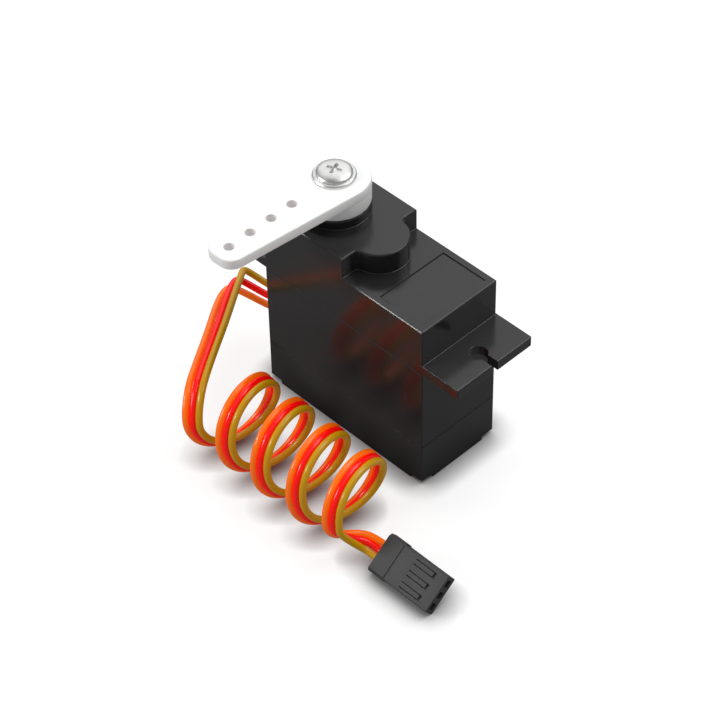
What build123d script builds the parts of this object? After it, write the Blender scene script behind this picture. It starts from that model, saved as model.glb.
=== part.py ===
from build123d import *
import math
import os

# Micro servo: a three-shell case with keyhole ears, a reduction gear train from
# a small motor up to a splined output shaft, a single-arm horn, and a
# three-wire lead that is coiled beside the case and ends in a plug.
# Millimetres, +Z up. The origin is the centre of the case's bottom face, +X
# points from the cable end towards the motor end, and the horn points to -Y.

# Case, outside
CASE_LENGTH = 25.5
CASE_WIDTH = 12.0
COVER_HEIGHT = 6.2
MIDDLE_CASE_HEIGHT = 11.8
LOWER_DECK_HEIGHT = 6.6
DECK_STEP = 2.8
STEP_OFFSET = 1.4
BOSS_RADIUS = 3.5
BOSS_BLEND = 0.65
EDGE_BREAK = 0.12
SEAM_BREAK = 0.08

# Case, inside; the side walls take what the gears leave
WALL = 1.0
ROOF = 1.0
FLOOR = 1.0
GEAR_FLOOR = 1.0
POST_SIZE = 2.3

# Label recess in the lower deck
RECESS_BOSS_MARGIN = 1.65
RECESS_SIDE_MARGIN = 0.95
RECESS_DEPTH = 0.1
RECESS_END_MARGIN = 0.9

# Ears
EAR_REACH = 5.5
EAR_RISE = 0.1
EAR_THICKNESS = 1.35
EAR_HOLE_OFFSET = 2.93
EAR_HOLE_RADIUS = 1.08
EAR_SLOT_WIDTH = 1.0

# Case screws
SCREW_INSET = 1.05
SCREW_RADIUS = 0.55
SCREW_SIDES = 12
SCREW_HEAD_RADIUS = 0.85
SCREW_HEAD_HEIGHT = 0.5
SCREW_TIP_COVER = 2.0
SCREW_TIP_ROOM = 0.3
SCREW_CLEARANCE = 0.04
NOTCH_SIZE = 1.9
NOTCH_HEIGHT = 0.6

# Gear train
WHEEL_SIDE_GAP = 0.5375
WHEEL_END_GAP = 0.345
TRAIN_TOOTH_SIZE = 0.3
MOTOR_TOOTH_SIZE = 0.25
PINION_TEETH = 8
FIRST_TEETH = 34
SMALL_TEETH = 10
LARGE_TEETH = 28
ADDENDUM = 0.85
DEDENDUM = 1.2
TOOTH_SHARE = 0.86
PRESSURE_ANGLE = 20.0
RUNNING_GAP = 0.05
FLOOR_GAP = 0.2
FIRST_WHEEL_WIDTH = 1.4
FIRST_PINION_WIDTH = 1.7
SECOND_WHEEL_RISE = 0.3
WHEEL_WIDTH = 1.2
SECOND_PINION_WIDTH = 1.8
THIRD_WHEEL_RISE = 0.5
THIRD_PINION_WIDTH = 2.5
OUTPUT_WHEEL_RISE = 0.8
OUTPUT_WHEEL_WIDTH = 1.6
PIN_RADIUS = 0.5
PIN_SEAT_DEPTH = 0.7
PIN_END_ROOM = 0.05
PIN_ROOF_DEPTH = 0.5

# Output shaft, bush, collar and horn
SHAFT_RADIUS = 2.35
SHAFT_SHOULDER_RADIUS = 3.0
SHAFT_SHOULDER_HEIGHT = 0.6
SPLINE_TEETH = 21
SPLINE_TIP_RADIUS = 2.3
SPLINE_ROOT_RADIUS = 2.08
SPLINE_LENGTH = 2.4
SPLINE_CLEARANCE = 0.04
BUSH_RADIUS = 3.2
BUSH_FLANGE_RADIUS = 3.7
BUSH_FLANGE_HEIGHT = 0.4
BUSH_SEAT_GAP = 0.02
BUSH_TOP_DROP = 0.2
COLLAR_RADIUS = 4.25
COLLAR_HEIGHT = 1.2
HORN_GAP = 0.2
HORN_HUB_HEIGHT = 3.3
HORN_ARM_THICKNESS = 1.4
HORN_HUB_RADIUS = 4.25
HORN_TIP_REACH = 18.9
HORN_TIP_HALF_WIDTH = 2.35
HORN_TIP_ROUND = 1.8
HORN_HOLE_RADIUS = 0.63
HORN_HOLE_PITCH = 3.25
HORN_FIRST_HOLE_MARGIN = 2.6
HORN_LAST_HOLE_MARGIN = 2.3
HORN_EDGE_BREAK = 0.12
HORN_SCREW_RADIUS = 1.0
HORN_SCREW_LENGTH = 4.4
HORN_SCREW_FLANGE_RADIUS = 2.55
HORN_SCREW_FLANGE_HEIGHT = 0.35
HORN_SCREW_HEAD_RADIUS = 2.0
HORN_SCREW_HEAD_HEIGHT = 0.75
HORN_SCREW_DOME = 0.3
HORN_SCREW_HOLE_GAP = 0.06
HORN_SCREW_TIP_ROOM = 0.3
DRIVE_ARM_LENGTH = 1.9
DRIVE_ARM_WIDTH = 0.4
DRIVE_DEPTH = 0.45
DRIVE_TURN = 20.0

# Potentiometer under the output axis
POT_END_GAP = 0.6
POT_HEIGHT = 4.0
POT_WALL = 0.6
POT_BASE_THICKNESS = 0.6
POT_SHAFT_RADIUS = 0.6
POT_BOSS_WALL = 0.35
WIPER_GAP = 0.4
WIPER_THICKNESS = 0.5
WIPER_DROP = 1.6
WIPER_SHAFT_STUB = 0.2
WIPER_FINGER_INNER = 1.12
WIPER_FINGER_GAP = 0.64
WIPER_SLOT_WIDTH = 1.6
WIPER_SLOT_Y = 1.2
POT_LEG_WIDTH = 0.5
POT_LEG_THICKNESS = 0.25
POT_LEG_PITCH = 2.0

# Motor
MOTOR_SIDE_GAP = 0.4
MOTOR_BOSS_RADIUS = 1.6
MOTOR_BOSS_HEIGHT = 0.7
MOTOR_SHAFT_RADIUS = 0.4
MOTOR_SHAFT_FOOT = 0.4
MOTOR_CAP_STEP = 0.4
MOTOR_CAP_HEIGHT = 1.0
MOTOR_CAN_BREAK = 0.3
MOTOR_SHAFT_STUB = 0.1
MOTOR_TAB_HEIGHT = 1.0
MOTOR_TAB_WIDTH = 0.9
MOTOR_TAB_THICKNESS = 0.3
MOTOR_TAB_INSET = 1.1
MOTOR_SEAT_GAP = 0.1

# Circuit board in the bottom cover
BOARD_END_GAP = 0.25
BOARD_SIDE_GAP = 0.3
BOARD_THICKNESS = 0.8
BOARD_CORNER = 0.4
BOARD_RIB_X = 7.0
BOARD_RIB_WIDTH = 1.0
BOARD_RIB_HEIGHT = 2.2
CHIP_LENGTH = 5.0
CHIP_WIDTH = 3.9
CHIP_HEIGHT = 1.1
CHIP_LEGS = 7
CHIP_LEG_PITCH = 0.65
CHIP_LEG_WIDTH = 0.3
CHIP_LEG_REACH = 0.8
CHIP_LEG_HEIGHT = 0.5
DRIVER_GAP = 1.1
DRIVER_Y = 2.6
DRIVER_LENGTH = 1.5
DRIVER_WIDTH = 2.6
DRIVER_HEIGHT = 0.85
CAPACITOR_OFFSET = 2.45
CAPACITOR_INSET = 1.75
CAPACITOR_RADIUS = 0.85
CAPACITOR_HEIGHT = 4.6

# Cable grommet in the end wall, at the seam of cover and middle case
GROMMET_WIDTH = 4.8
GROMMET_HEIGHT = 1.9
GROMMET_REACH = 0.75
GROMMET_LIP = 0.4
GROMMET_LIP_THICKNESS = 0.4
GROMMET_GAP = 0.03
GROMMET_BREAK = 0.3

# Three-wire lead
WIRE_DIAMETER = 0.86
WIRE_EXIT_PITCH = 1.3
LEAD_DROP = 1.4
WIRE_SIDES = 6

# Coil of the lead beside the case
COIL_RADIUS = 5.9
COIL_Y = -16.7
COIL_START_X = -10.3
COIL_END_X = 15.5

# Plug
PLUG_REAR_X = 18.1
PLUG_Y = -17.82
PLUG_Z = 2.11
PLUG_ROLL = 37.8
PLUG_COLLAR_LENGTH = 2.3
PLUG_COLLAR_WIDTH = 4.95
PLUG_COLLAR_THICKNESS = 1.9
PLUG_COLLAR_CHAMFER = 0.35
PLUG_FRONT_LENGTH = 6.7
PLUG_FRONT_WIDTH = 4.7
PLUG_FRONT_THICKNESS = 1.7
PLUG_EDGE = 0.1
SOCKET_PITCH = 1.5
SOCKET_SIZE = 0.85
SOCKET_DEPTH = 5.2
PLUG_WIRE_PITCH = 0.95
PLUG_STRAIGHT = 1.3
CONTACT_SIZE = 0.7
CONTACT_WALL = 0.14
CONTACT_SET_BACK = 0.5
CONTACT_LENGTH = 4.4
CONTACT_NECK = 1.0
TONGUE_WIDTH = 0.62
TONGUE_LENGTH = 3.2
TONGUE_GROOVE = 0.12
TONGUE_DEPTH = 0.22
TONGUE_SLOT_LENGTH = 0.4
TONGUE_FRONT_MARGIN = 1.3

# How far a cutting shape runs past the face that it opens
PAST = 1.0

# Worked out from the sizes above
END_X = CASE_LENGTH / 2
SIDE_Y = CASE_WIDTH / 2
COVER_SEAM_Z = COVER_HEIGHT
CASE_SEAM_Z = COVER_SEAM_Z + MIDDLE_CASE_HEIGHT
LOWER_DECK_Z = CASE_SEAM_Z + LOWER_DECK_HEIGHT
UPPER_DECK_Z = LOWER_DECK_Z + DECK_STEP
COLLAR_TOP_Z = UPPER_DECK_Z + COLLAR_HEIGHT
SPLINE_TOP_Z = COLLAR_TOP_Z + SPLINE_LENGTH
HORN_BOTTOM_Z = COLLAR_TOP_Z + HORN_GAP
HORN_TOP_Z = HORN_BOTTOM_Z + HORN_HUB_HEIGHT
WHEEL_RADIUS = TRAIN_TOOTH_SIZE * (LARGE_TEETH / 2 + ADDENDUM)
FIRST_WHEEL_RADIUS = MOTOR_TOOTH_SIZE * (FIRST_TEETH / 2 + ADDENDUM)
INNER_Y = max(WHEEL_RADIUS, FIRST_WHEEL_RADIUS) + WHEEL_SIDE_GAP
SIDE_WALL = SIDE_Y - INNER_Y
OUTPUT_INSET = WALL + WHEEL_END_GAP + WHEEL_RADIUS
OUTPUT_X = -END_X + OUTPUT_INSET
MIDDLE_X = OUTPUT_X + TRAIN_TOOTH_SIZE * (SMALL_TEETH + LARGE_TEETH) / 2
MOTOR_X = MIDDLE_X + MOTOR_TOOTH_SIZE * (FIRST_TEETH + PINION_TEETH) / 2
STEP_X = MIDDLE_X + STEP_OFFSET
RECESS_START_X = STEP_X + BOSS_RADIUS + RECESS_BOSS_MARGIN
RECESS_END_X = END_X - RECESS_END_MARGIN
PLATE_BOTTOM_Z = CASE_SEAM_Z - GEAR_FLOOR
EAR_BOTTOM_Z = CASE_SEAM_Z + EAR_RISE
HOLE_X = END_X + EAR_HOLE_OFFSET
PIN_BOTTOM_Z = CASE_SEAM_Z - PIN_SEAT_DEPTH
PIN_TOP_Z = UPPER_DECK_Z - ROOF + PIN_ROOF_DEPTH
FIRST_WHEEL_Z = CASE_SEAM_Z + FLOOR_GAP
FIRST_PINION_Z = FIRST_WHEEL_Z + FIRST_WHEEL_WIDTH
SECOND_WHEEL_Z = FIRST_PINION_Z + SECOND_WHEEL_RISE
SECOND_PINION_Z = SECOND_WHEEL_Z + WHEEL_WIDTH
THIRD_WHEEL_Z = SECOND_PINION_Z + THIRD_WHEEL_RISE
THIRD_PINION_Z = THIRD_WHEEL_Z + WHEEL_WIDTH
OUTPUT_WHEEL_Z = THIRD_PINION_Z + OUTPUT_WHEEL_RISE
OUTPUT_WHEEL_TOP = OUTPUT_WHEEL_Z + OUTPUT_WHEEL_WIDTH
SHOULDER_TOP = OUTPUT_WHEEL_TOP + SHAFT_SHOULDER_HEIGHT
BOARD_LENGTH = 2 * (END_X - POST_SIZE - BOARD_END_GAP)
BOARD_WIDTH = 2 * (INNER_Y - BOARD_SIDE_GAP)
BOARD_TOP_Z = FLOOR + BOARD_RIB_HEIGHT + BOARD_THICKNESS
POT_RADIUS = OUTPUT_INSET - WALL - POT_END_GAP
WIPER_RADIUS = POT_RADIUS - POT_WALL - WIPER_GAP
MOTOR_RADIUS = INNER_Y - MOTOR_SIDE_GAP
MOTOR_CAP_RADIUS = MOTOR_RADIUS - MOTOR_CAP_STEP
MOTOR_TAB_Y = MOTOR_CAP_RADIUS - MOTOR_TAB_INSET
DRIVER_X = MOTOR_X - MOTOR_RADIUS - DRIVER_GAP
CAPACITOR_X = OUTPUT_X + CAPACITOR_OFFSET
CAPACITOR_Y = BOARD_WIDTH / 2 - CAPACITOR_INSET
POT_BOTTOM_Z = PLATE_BOTTOM_Z - POT_HEIGHT
POT_BORE = POT_SHAFT_RADIUS + RUNNING_GAP
WIPER_Z = PLATE_BOTTOM_Z - POT_WALL - WIPER_DROP
SHAFT_FOOT_Z = WIPER_Z - WIPER_SHAFT_STUB
MOTOR_BOTTOM_Z = BOARD_TOP_Z + MOTOR_TAB_HEIGHT + MOTOR_CAP_HEIGHT
GROMMET_FACE_X = -END_X - GROMMET_REACH
SCREW_TOP_Z = LOWER_DECK_Z - SCREW_TIP_COVER
SCREW_X = END_X - SCREW_INSET
SCREW_Y = SIDE_Y - SCREW_INSET

os.makedirs("parts", exist_ok=True)


def block(x0, x1, y0, y1, z0, z1):
    """A box between two corners."""
    centre = Pos((x0 + x1) / 2, (y0 + y1) / 2, (z0 + z1) / 2)
    return centre * Box(x1 - x0, y1 - y0, z1 - z0)


def rod(x, y, z0, z1, radius):
    """An upright cylinder from z0 to z1."""
    return Pos(x, y, (z0 + z1) / 2) * Cylinder(radius, z1 - z0)


def bar(x, y, z0, z1, radius, sides):
    """An upright bar with flat sides, for small round pieces that repeat."""
    return Pos(x, y, z0) * extrude(RegularPolygon(radius, sides), z1 - z0)


def ring(x, y, z0, z1, outer, inner):
    """An upright tube."""
    return rod(x, y, z0, z1, outer) - rod(x, y, z0 - PAST, z1 + PAST, inner)


def corners():
    """The places of the four case screws."""
    return [(sx * SCREW_X, sy * SCREW_Y) for sx in (-1, 1) for sy in (-1, 1)]


def save(name, shape):
    """Write one named node."""
    shape.label = name
    export_step(shape, f"parts/{name}.step")
    return shape


def edges_at(shape, z):
    """The outer edges that lie flat at one height."""
    return [e for e in shape.edges() if abs(e.bounding_box().min.Z - z) < 1e-4
            and abs(e.bounding_box().max.Z - z) < 1e-4]


def on_outline(edge):
    """Whether an edge lies on the outside of the case."""
    centre = edge.center()
    return max(abs(centre.X) - END_X, abs(centre.Y) - SIDE_Y) > -EDGE_BREAK


def upright_corners(shape):
    """The four outer upright edges of a shell."""
    return [e for e in shape.edges().filter_by(Axis.Z)
            if abs(abs(e.center().X) - END_X) < 1e-4 and abs(abs(e.center().Y) - SIDE_Y) < 1e-4]


def tooth_outline(teeth, module, tooth_at):
    """The closed outline of a spur gear, each flank two chords of its involute.

    tooth_at is the angle, in degrees, at which one tooth is centred."""
    pitch = module * teeth / 2
    base = pitch * math.cos(math.radians(PRESSURE_ANGLE))
    root = pitch - DEDENDUM * module
    tip = pitch + ADDENDUM * module
    involute = math.tan(math.radians(PRESSURE_ANGLE)) - math.radians(PRESSURE_ANGLE)
    half_at_pitch = math.pi / teeth / 2 * TOOTH_SHARE

    def half_angle(radius):
        angle = math.acos(min(1.0, base / radius))
        return half_at_pitch + involute - (math.tan(angle) - angle)

    radii = [root, pitch, tip]
    points = []
    for tooth in range(teeth):
        centre = math.radians(tooth_at) + 2 * math.pi * tooth / teeth
        for side, ordered in ((-1, radii), (1, radii[::-1])):
            for radius in ordered:
                angle = centre + side * half_angle(max(radius, base))
                points.append((radius * math.cos(angle), radius * math.sin(angle)))
    return points


def spur(x, z, width, teeth, module, tooth_at):
    """A spur gear blank without its bore, standing on height z."""
    face = make_face(Polyline(tooth_outline(teeth, module, tooth_at), close=True))
    return Pos(x, 0, z) * extrude(face, width)


def gap_at(direction, teeth):
    """The tooth angle that puts a gap at a direction."""
    return direction + 180 / teeth


# Corner posts that the case screws run through
def posts(z0, z1):
    """Square columns in the four corners of the case."""
    out = []
    for x, y in corners():
        sx, sy = math.copysign(1, x), math.copysign(1, y)
        x_out, y_out = sx * (END_X - WALL / 2), sy * (SIDE_Y - SIDE_WALL / 2)
        x_in, y_in = sx * (END_X - POST_SIZE), sy * (SIDE_Y - POST_SIZE)
        out.append(block(min(x_out, x_in), max(x_out, x_in), min(y_out, y_in), max(y_out, y_in), z0, z1))
    return out


def screw_holes(z0, z1):
    """Clearance holes for the case screws."""
    return [bar(x, y, z0, z1, SCREW_RADIUS + SCREW_CLEARANCE, SCREW_SIDES) for x, y in corners()]


def grommet_window():
    """The hole in the end wall that holds the grommet."""
    half_w = GROMMET_WIDTH / 2 + GROMMET_GAP
    half_h = GROMMET_HEIGHT / 2 + GROMMET_GAP
    return block(-END_X - PAST, -END_X + WALL + GROMMET_GAP, -half_w, half_w,
                 COVER_SEAM_Z - half_h, COVER_SEAM_Z + half_h)


# Gear case: the top shell with both ears, the raised deck, boss and collar
def gear_case():
    """Top shell, open below, round the gear train."""
    body = block(-END_X, END_X, -SIDE_Y, SIDE_Y, CASE_SEAM_Z, LOWER_DECK_Z)
    body += block(-END_X, STEP_X, -SIDE_Y, SIDE_Y, CASE_SEAM_Z, UPPER_DECK_Z)
    body += rod(STEP_X, 0, CASE_SEAM_Z, UPPER_DECK_Z, BOSS_RADIUS)
    blend_edges = [e for e in body.edges().filter_by(Axis.Z)
                   if abs(e.center().X - STEP_X) < 1e-4 and abs(abs(e.center().Y) - BOSS_RADIUS) < 1e-4]
    body = fillet(blend_edges, BOSS_BLEND)
    body = chamfer(upright_corners(body), EDGE_BREAK)
    deck_edges = edges_at(body, UPPER_DECK_Z) + [e for e in edges_at(body, LOWER_DECK_Z) if on_outline(e)]
    body = chamfer(deck_edges, EDGE_BREAK)
    body = chamfer(edges_at(body, CASE_SEAM_Z), SEAM_BREAK)
    for sign in (-1, 1):
        body += ear(sign)
    body += rod(OUTPUT_X, 0, UPPER_DECK_Z - ROOF, COLLAR_TOP_Z, COLLAR_RADIUS) - rod(
        OUTPUT_X, 0, UPPER_DECK_Z - 2 * ROOF, COLLAR_TOP_Z + PAST, BUSH_RADIUS)
    collar_rim = [e for e in edges_at(body, COLLAR_TOP_Z) if e.radius > (BUSH_RADIUS + COLLAR_RADIUS) / 2]
    body = chamfer(collar_rim, EDGE_BREAK)
    recess_y = SIDE_Y - RECESS_SIDE_MARGIN
    body -= block(RECESS_START_X, RECESS_END_X, -recess_y, recess_y,
                  LOWER_DECK_Z - RECESS_DEPTH, LOWER_DECK_Z + PAST)
    room = block(-END_X + WALL, END_X - WALL, -INNER_Y, INNER_Y,
                 CASE_SEAM_Z - PAST, LOWER_DECK_Z - ROOF)
    room += block(-END_X + WALL, STEP_X - WALL, -INNER_Y, INNER_Y,
                  CASE_SEAM_Z - PAST, UPPER_DECK_Z - ROOF)
    room += rod(STEP_X, 0, CASE_SEAM_Z - PAST, UPPER_DECK_Z - ROOF, BOSS_RADIUS - WALL)
    body -= room
    for column in posts(CASE_SEAM_Z, LOWER_DECK_Z - ROOF / 2):
        body += column
    body += rod(MIDDLE_X, 0, UPPER_DECK_Z - ROOF - PIN_SEAT_DEPTH, UPPER_DECK_Z - ROOF / 2, PIN_RADIUS * 2)
    body -= rod(OUTPUT_X, 0, UPPER_DECK_Z - 2 * ROOF, COLLAR_TOP_Z + PAST, BUSH_RADIUS + BUSH_SEAT_GAP)
    body -= rod(MIDDLE_X, 0, CASE_SEAM_Z, PIN_TOP_Z + PIN_END_ROOM, PIN_RADIUS + BUSH_SEAT_GAP)
    for hole in screw_holes(CASE_SEAM_Z - PAST, SCREW_TOP_Z + SCREW_TIP_ROOM):
        body -= hole
    return body


def ear(sign):
    """A mounting ear with its keyhole slot."""
    root_x, tip_x = sign * (END_X - WALL / 2), sign * (END_X + EAR_REACH)
    plate = block(min(root_x, tip_x), max(root_x, tip_x), -SIDE_Y, SIDE_Y,
                  EAR_BOTTOM_Z, EAR_BOTTOM_Z + EAR_THICKNESS)
    tip_edges = [e for e in plate.edges() if abs(e.center().X - tip_x) < 1e-4]
    plate = chamfer(tip_edges, EDGE_BREAK)
    slot_x = (sign * HOLE_X, tip_x + sign * PAST)
    low, high = EAR_BOTTOM_Z - PAST, EAR_BOTTOM_Z + EAR_THICKNESS + PAST
    plate -= rod(sign * HOLE_X, 0, low, high, EAR_HOLE_RADIUS)
    plate -= block(min(slot_x), max(slot_x), -EAR_SLOT_WIDTH / 2, EAR_SLOT_WIDTH / 2, low, high)
    return plate


# Middle case: the body shell that holds motor and potentiometer
def middle_case():
    """Open tube closed on top by the gear floor."""
    body = block(-END_X, END_X, -SIDE_Y, SIDE_Y, COVER_SEAM_Z, CASE_SEAM_Z)
    body = chamfer(upright_corners(body), EDGE_BREAK)
    body = chamfer(edges_at(body, CASE_SEAM_Z) + edges_at(body, COVER_SEAM_Z), SEAM_BREAK)
    body -= block(-END_X + WALL, END_X - WALL, -INNER_Y, INNER_Y,
                  COVER_SEAM_Z - PAST, PLATE_BOTTOM_Z)
    for column in posts(COVER_SEAM_Z, PLATE_BOTTOM_Z + GEAR_FLOOR / 2):
        body += column
    body += rod(OUTPUT_X, 0, PLATE_BOTTOM_Z, SECOND_WHEEL_Z - RUNNING_GAP, POT_BORE + POT_BOSS_WALL)
    body -= rod(OUTPUT_X, 0, PLATE_BOTTOM_Z - PAST, SECOND_WHEEL_Z + PAST, POT_BORE)
    body -= rod(MIDDLE_X, 0, PIN_BOTTOM_Z, CASE_SEAM_Z + PAST, PIN_RADIUS + BUSH_SEAT_GAP)
    body -= rod(MOTOR_X, 0, PLATE_BOTTOM_Z - PAST, CASE_SEAM_Z + PAST, MOTOR_BOSS_RADIUS + MOTOR_SEAT_GAP)
    body -= grommet_window()
    for hole in screw_holes(COVER_SEAM_Z - PAST, CASE_SEAM_Z + PAST):
        body -= hole
    return body


# Bottom cover: the tray under the circuit board
def bottom_cover():
    """Shallow tray with screw recesses at its four corners."""
    body = block(-END_X, END_X, -SIDE_Y, SIDE_Y, 0, COVER_SEAM_Z)
    body = chamfer(upright_corners(body), EDGE_BREAK)
    body = chamfer(edges_at(body, COVER_SEAM_Z) + edges_at(body, 0), SEAM_BREAK)
    body -= block(-END_X + WALL, END_X - WALL, -INNER_Y, INNER_Y, FLOOR, COVER_SEAM_Z + PAST)
    for column in posts(FLOOR / 2, COVER_SEAM_Z):
        body += column
    for sx in (-1, 1):
        body += block(sx * BOARD_RIB_X - BOARD_RIB_WIDTH / 2, sx * BOARD_RIB_X + BOARD_RIB_WIDTH / 2,
                      -INNER_Y, INNER_Y, FLOOR / 2, BOARD_TOP_Z - BOARD_THICKNESS)
        for sy in (-1, 1):
            x_low = min(sx * END_X, sx * (END_X - NOTCH_SIZE))
            y_low = min(sy * SIDE_Y, sy * (SIDE_Y - NOTCH_SIZE))
            body -= block(x_low, x_low + NOTCH_SIZE, y_low, y_low + NOTCH_SIZE, -PAST, NOTCH_HEIGHT)
    body -= grommet_window()
    for hole in screw_holes(-PAST, COVER_SEAM_Z + PAST):
        body -= hole
    return body


def case_screws():
    """Four long case screws, heads down in the corner recesses."""
    out = []
    for x, y in corners():
        screw = bar(x, y, NOTCH_HEIGHT, SCREW_TOP_Z, SCREW_RADIUS, SCREW_SIDES)
        screw += bar(x, y, NOTCH_HEIGHT - SCREW_HEAD_HEIGHT, NOTCH_HEIGHT, SCREW_HEAD_RADIUS, SCREW_SIDES)
        out.append(screw)
    return Compound(children=out)


# Gear train, from the motor pinion up to the output gear
def compound_gear(x, wheel_z, wheel_width, wheel_teeth, wheel_module, wheel_at,
                  pinion_z, pinion_width, pinion_at, bore):
    """A large wheel with a small pinion on top, on one bore."""
    gear = spur(x, wheel_z, wheel_width, wheel_teeth, wheel_module, wheel_at)
    gear += spur(x, pinion_z, pinion_width, SMALL_TEETH, TRAIN_TOOTH_SIZE, pinion_at)
    return gear - rod(x, 0, wheel_z - PAST, pinion_z + pinion_width + PAST, bore)


def motor_pinion():
    """Brass pinion on the motor shaft, in mesh with the first gear."""
    gear = spur(MOTOR_X, FIRST_WHEEL_Z, FIRST_WHEEL_WIDTH, PINION_TEETH, MOTOR_TOOTH_SIZE,
                gap_at(180, PINION_TEETH))
    return gear - rod(MOTOR_X, 0, FIRST_WHEEL_Z - PAST, FIRST_PINION_Z + PAST, MOTOR_SHAFT_RADIUS)


def first_gear():
    """Driven by the motor pinion, on the middle pin."""
    return compound_gear(MIDDLE_X, FIRST_WHEEL_Z, FIRST_WHEEL_WIDTH, FIRST_TEETH, MOTOR_TOOTH_SIZE, 0,
                         FIRST_PINION_Z, FIRST_PINION_WIDTH, gap_at(180, SMALL_TEETH),
                         PIN_RADIUS + RUNNING_GAP)


def second_gear():
    """Turns freely on the potentiometer shaft."""
    return compound_gear(OUTPUT_X, SECOND_WHEEL_Z, WHEEL_WIDTH, LARGE_TEETH, TRAIN_TOOTH_SIZE, 0,
                         SECOND_PINION_Z, SECOND_PINION_WIDTH, gap_at(0, SMALL_TEETH),
                         POT_SHAFT_RADIUS + RUNNING_GAP)


def third_gear():
    """On the middle pin again, and drives the output gear."""
    return compound_gear(MIDDLE_X, THIRD_WHEEL_Z, WHEEL_WIDTH, LARGE_TEETH, TRAIN_TOOTH_SIZE, 180,
                         THIRD_PINION_Z, THIRD_PINION_WIDTH, gap_at(180, SMALL_TEETH),
                         PIN_RADIUS + RUNNING_GAP)


def star(tip_radius, root_radius, z0, z1):
    """A splined bar of triangular teeth on the output axis."""
    points = []
    for tooth in range(SPLINE_TEETH):
        for part, radius in ((0.0, tip_radius), (0.5, root_radius)):
            angle = 2 * math.pi * (tooth + part) / SPLINE_TEETH
            points.append((radius * math.cos(angle), radius * math.sin(angle)))
    return Pos(OUTPUT_X, 0, z0) * extrude(make_face(Polyline(points, close=True)), z1 - z0)


def output_gear():
    """Last wheel of the train, in one piece with the splined output shaft."""
    gear = spur(OUTPUT_X, OUTPUT_WHEEL_Z, OUTPUT_WHEEL_WIDTH, LARGE_TEETH, TRAIN_TOOTH_SIZE, 0)
    gear += rod(OUTPUT_X, 0, OUTPUT_WHEEL_TOP, SHOULDER_TOP, SHAFT_SHOULDER_RADIUS)
    gear += rod(OUTPUT_X, 0, SHOULDER_TOP, COLLAR_TOP_Z, SHAFT_RADIUS)
    gear += star(SPLINE_TIP_RADIUS, SPLINE_ROOT_RADIUS, COLLAR_TOP_Z, SPLINE_TOP_Z)
    gear -= rod(OUTPUT_X, 0, OUTPUT_WHEEL_Z - PAST, OUTPUT_WHEEL_TOP, POT_SHAFT_RADIUS)
    screw_foot = HORN_TOP_Z - HORN_SCREW_LENGTH
    return gear - bar(OUTPUT_X, 0, screw_foot - HORN_SCREW_TIP_ROOM, SPLINE_TOP_Z + PAST,
                      HORN_SCREW_RADIUS + HORN_SCREW_HOLE_GAP, SCREW_SIDES)


def output_bush():
    """Flanged bearing bush of the output shaft, seated in the collar."""
    roof = UPPER_DECK_Z - ROOF
    flange = ring(OUTPUT_X, 0, roof - BUSH_FLANGE_HEIGHT, roof, BUSH_FLANGE_RADIUS, SHAFT_RADIUS + RUNNING_GAP)
    barrel = ring(OUTPUT_X, 0, roof, COLLAR_TOP_Z - BUSH_TOP_DROP, BUSH_RADIUS, SHAFT_RADIUS + RUNNING_GAP)
    return flange + barrel


# Horn and its screw
def horn():
    """Single-arm horn: splined hub, tapered arm and four link holes."""
    slope = math.asin((HORN_HUB_RADIUS - HORN_TIP_HALF_WIDTH) / HORN_TIP_REACH)
    root = (HORN_HUB_RADIUS * math.cos(slope), -HORN_HUB_RADIUS * math.sin(slope))
    sides = Polyline((-root[0], root[1]), (-HORN_TIP_HALF_WIDTH, -HORN_TIP_REACH),
                     (HORN_TIP_HALF_WIDTH, -HORN_TIP_REACH), root)
    back = ThreePointArc(root, (0, HORN_HUB_RADIUS), (-root[0], root[1]))
    underside = HORN_TOP_Z - HORN_ARM_THICKNESS
    arm = Pos(OUTPUT_X, 0, underside) * extrude(make_face(sides + back), HORN_ARM_THICKNESS)
    tip = [e for e in arm.edges().filter_by(Axis.Z) if abs(e.center().Y + HORN_TIP_REACH) < 1e-4]
    arm = fillet(tip, HORN_TIP_ROUND)
    arm = chamfer(edges_at(arm, HORN_TOP_Z), HORN_EDGE_BREAK)
    body = arm + rod(OUTPUT_X, 0, HORN_BOTTOM_Z, underside, HORN_HUB_RADIUS)
    first_hole = HORN_HUB_RADIUS + HORN_FIRST_HOLE_MARGIN
    room = HORN_TIP_REACH - HORN_LAST_HOLE_MARGIN - first_hole
    for index in range(math.floor(room / HORN_HOLE_PITCH + 0.01) + 1):
        y = -first_hole - index * HORN_HOLE_PITCH
        body -= rod(OUTPUT_X, y, HORN_BOTTOM_Z, HORN_TOP_Z + PAST, HORN_HOLE_RADIUS)
    body -= star(SPLINE_TIP_RADIUS + SPLINE_CLEARANCE, SPLINE_ROOT_RADIUS + SPLINE_CLEARANCE,
                 HORN_BOTTOM_Z - PAST, SPLINE_TOP_Z + SPLINE_CLEARANCE)
    return body - bar(OUTPUT_X, 0, HORN_BOTTOM_Z, HORN_TOP_Z + PAST,
                      HORN_SCREW_RADIUS + HORN_SCREW_HOLE_GAP, SCREW_SIDES)


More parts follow.
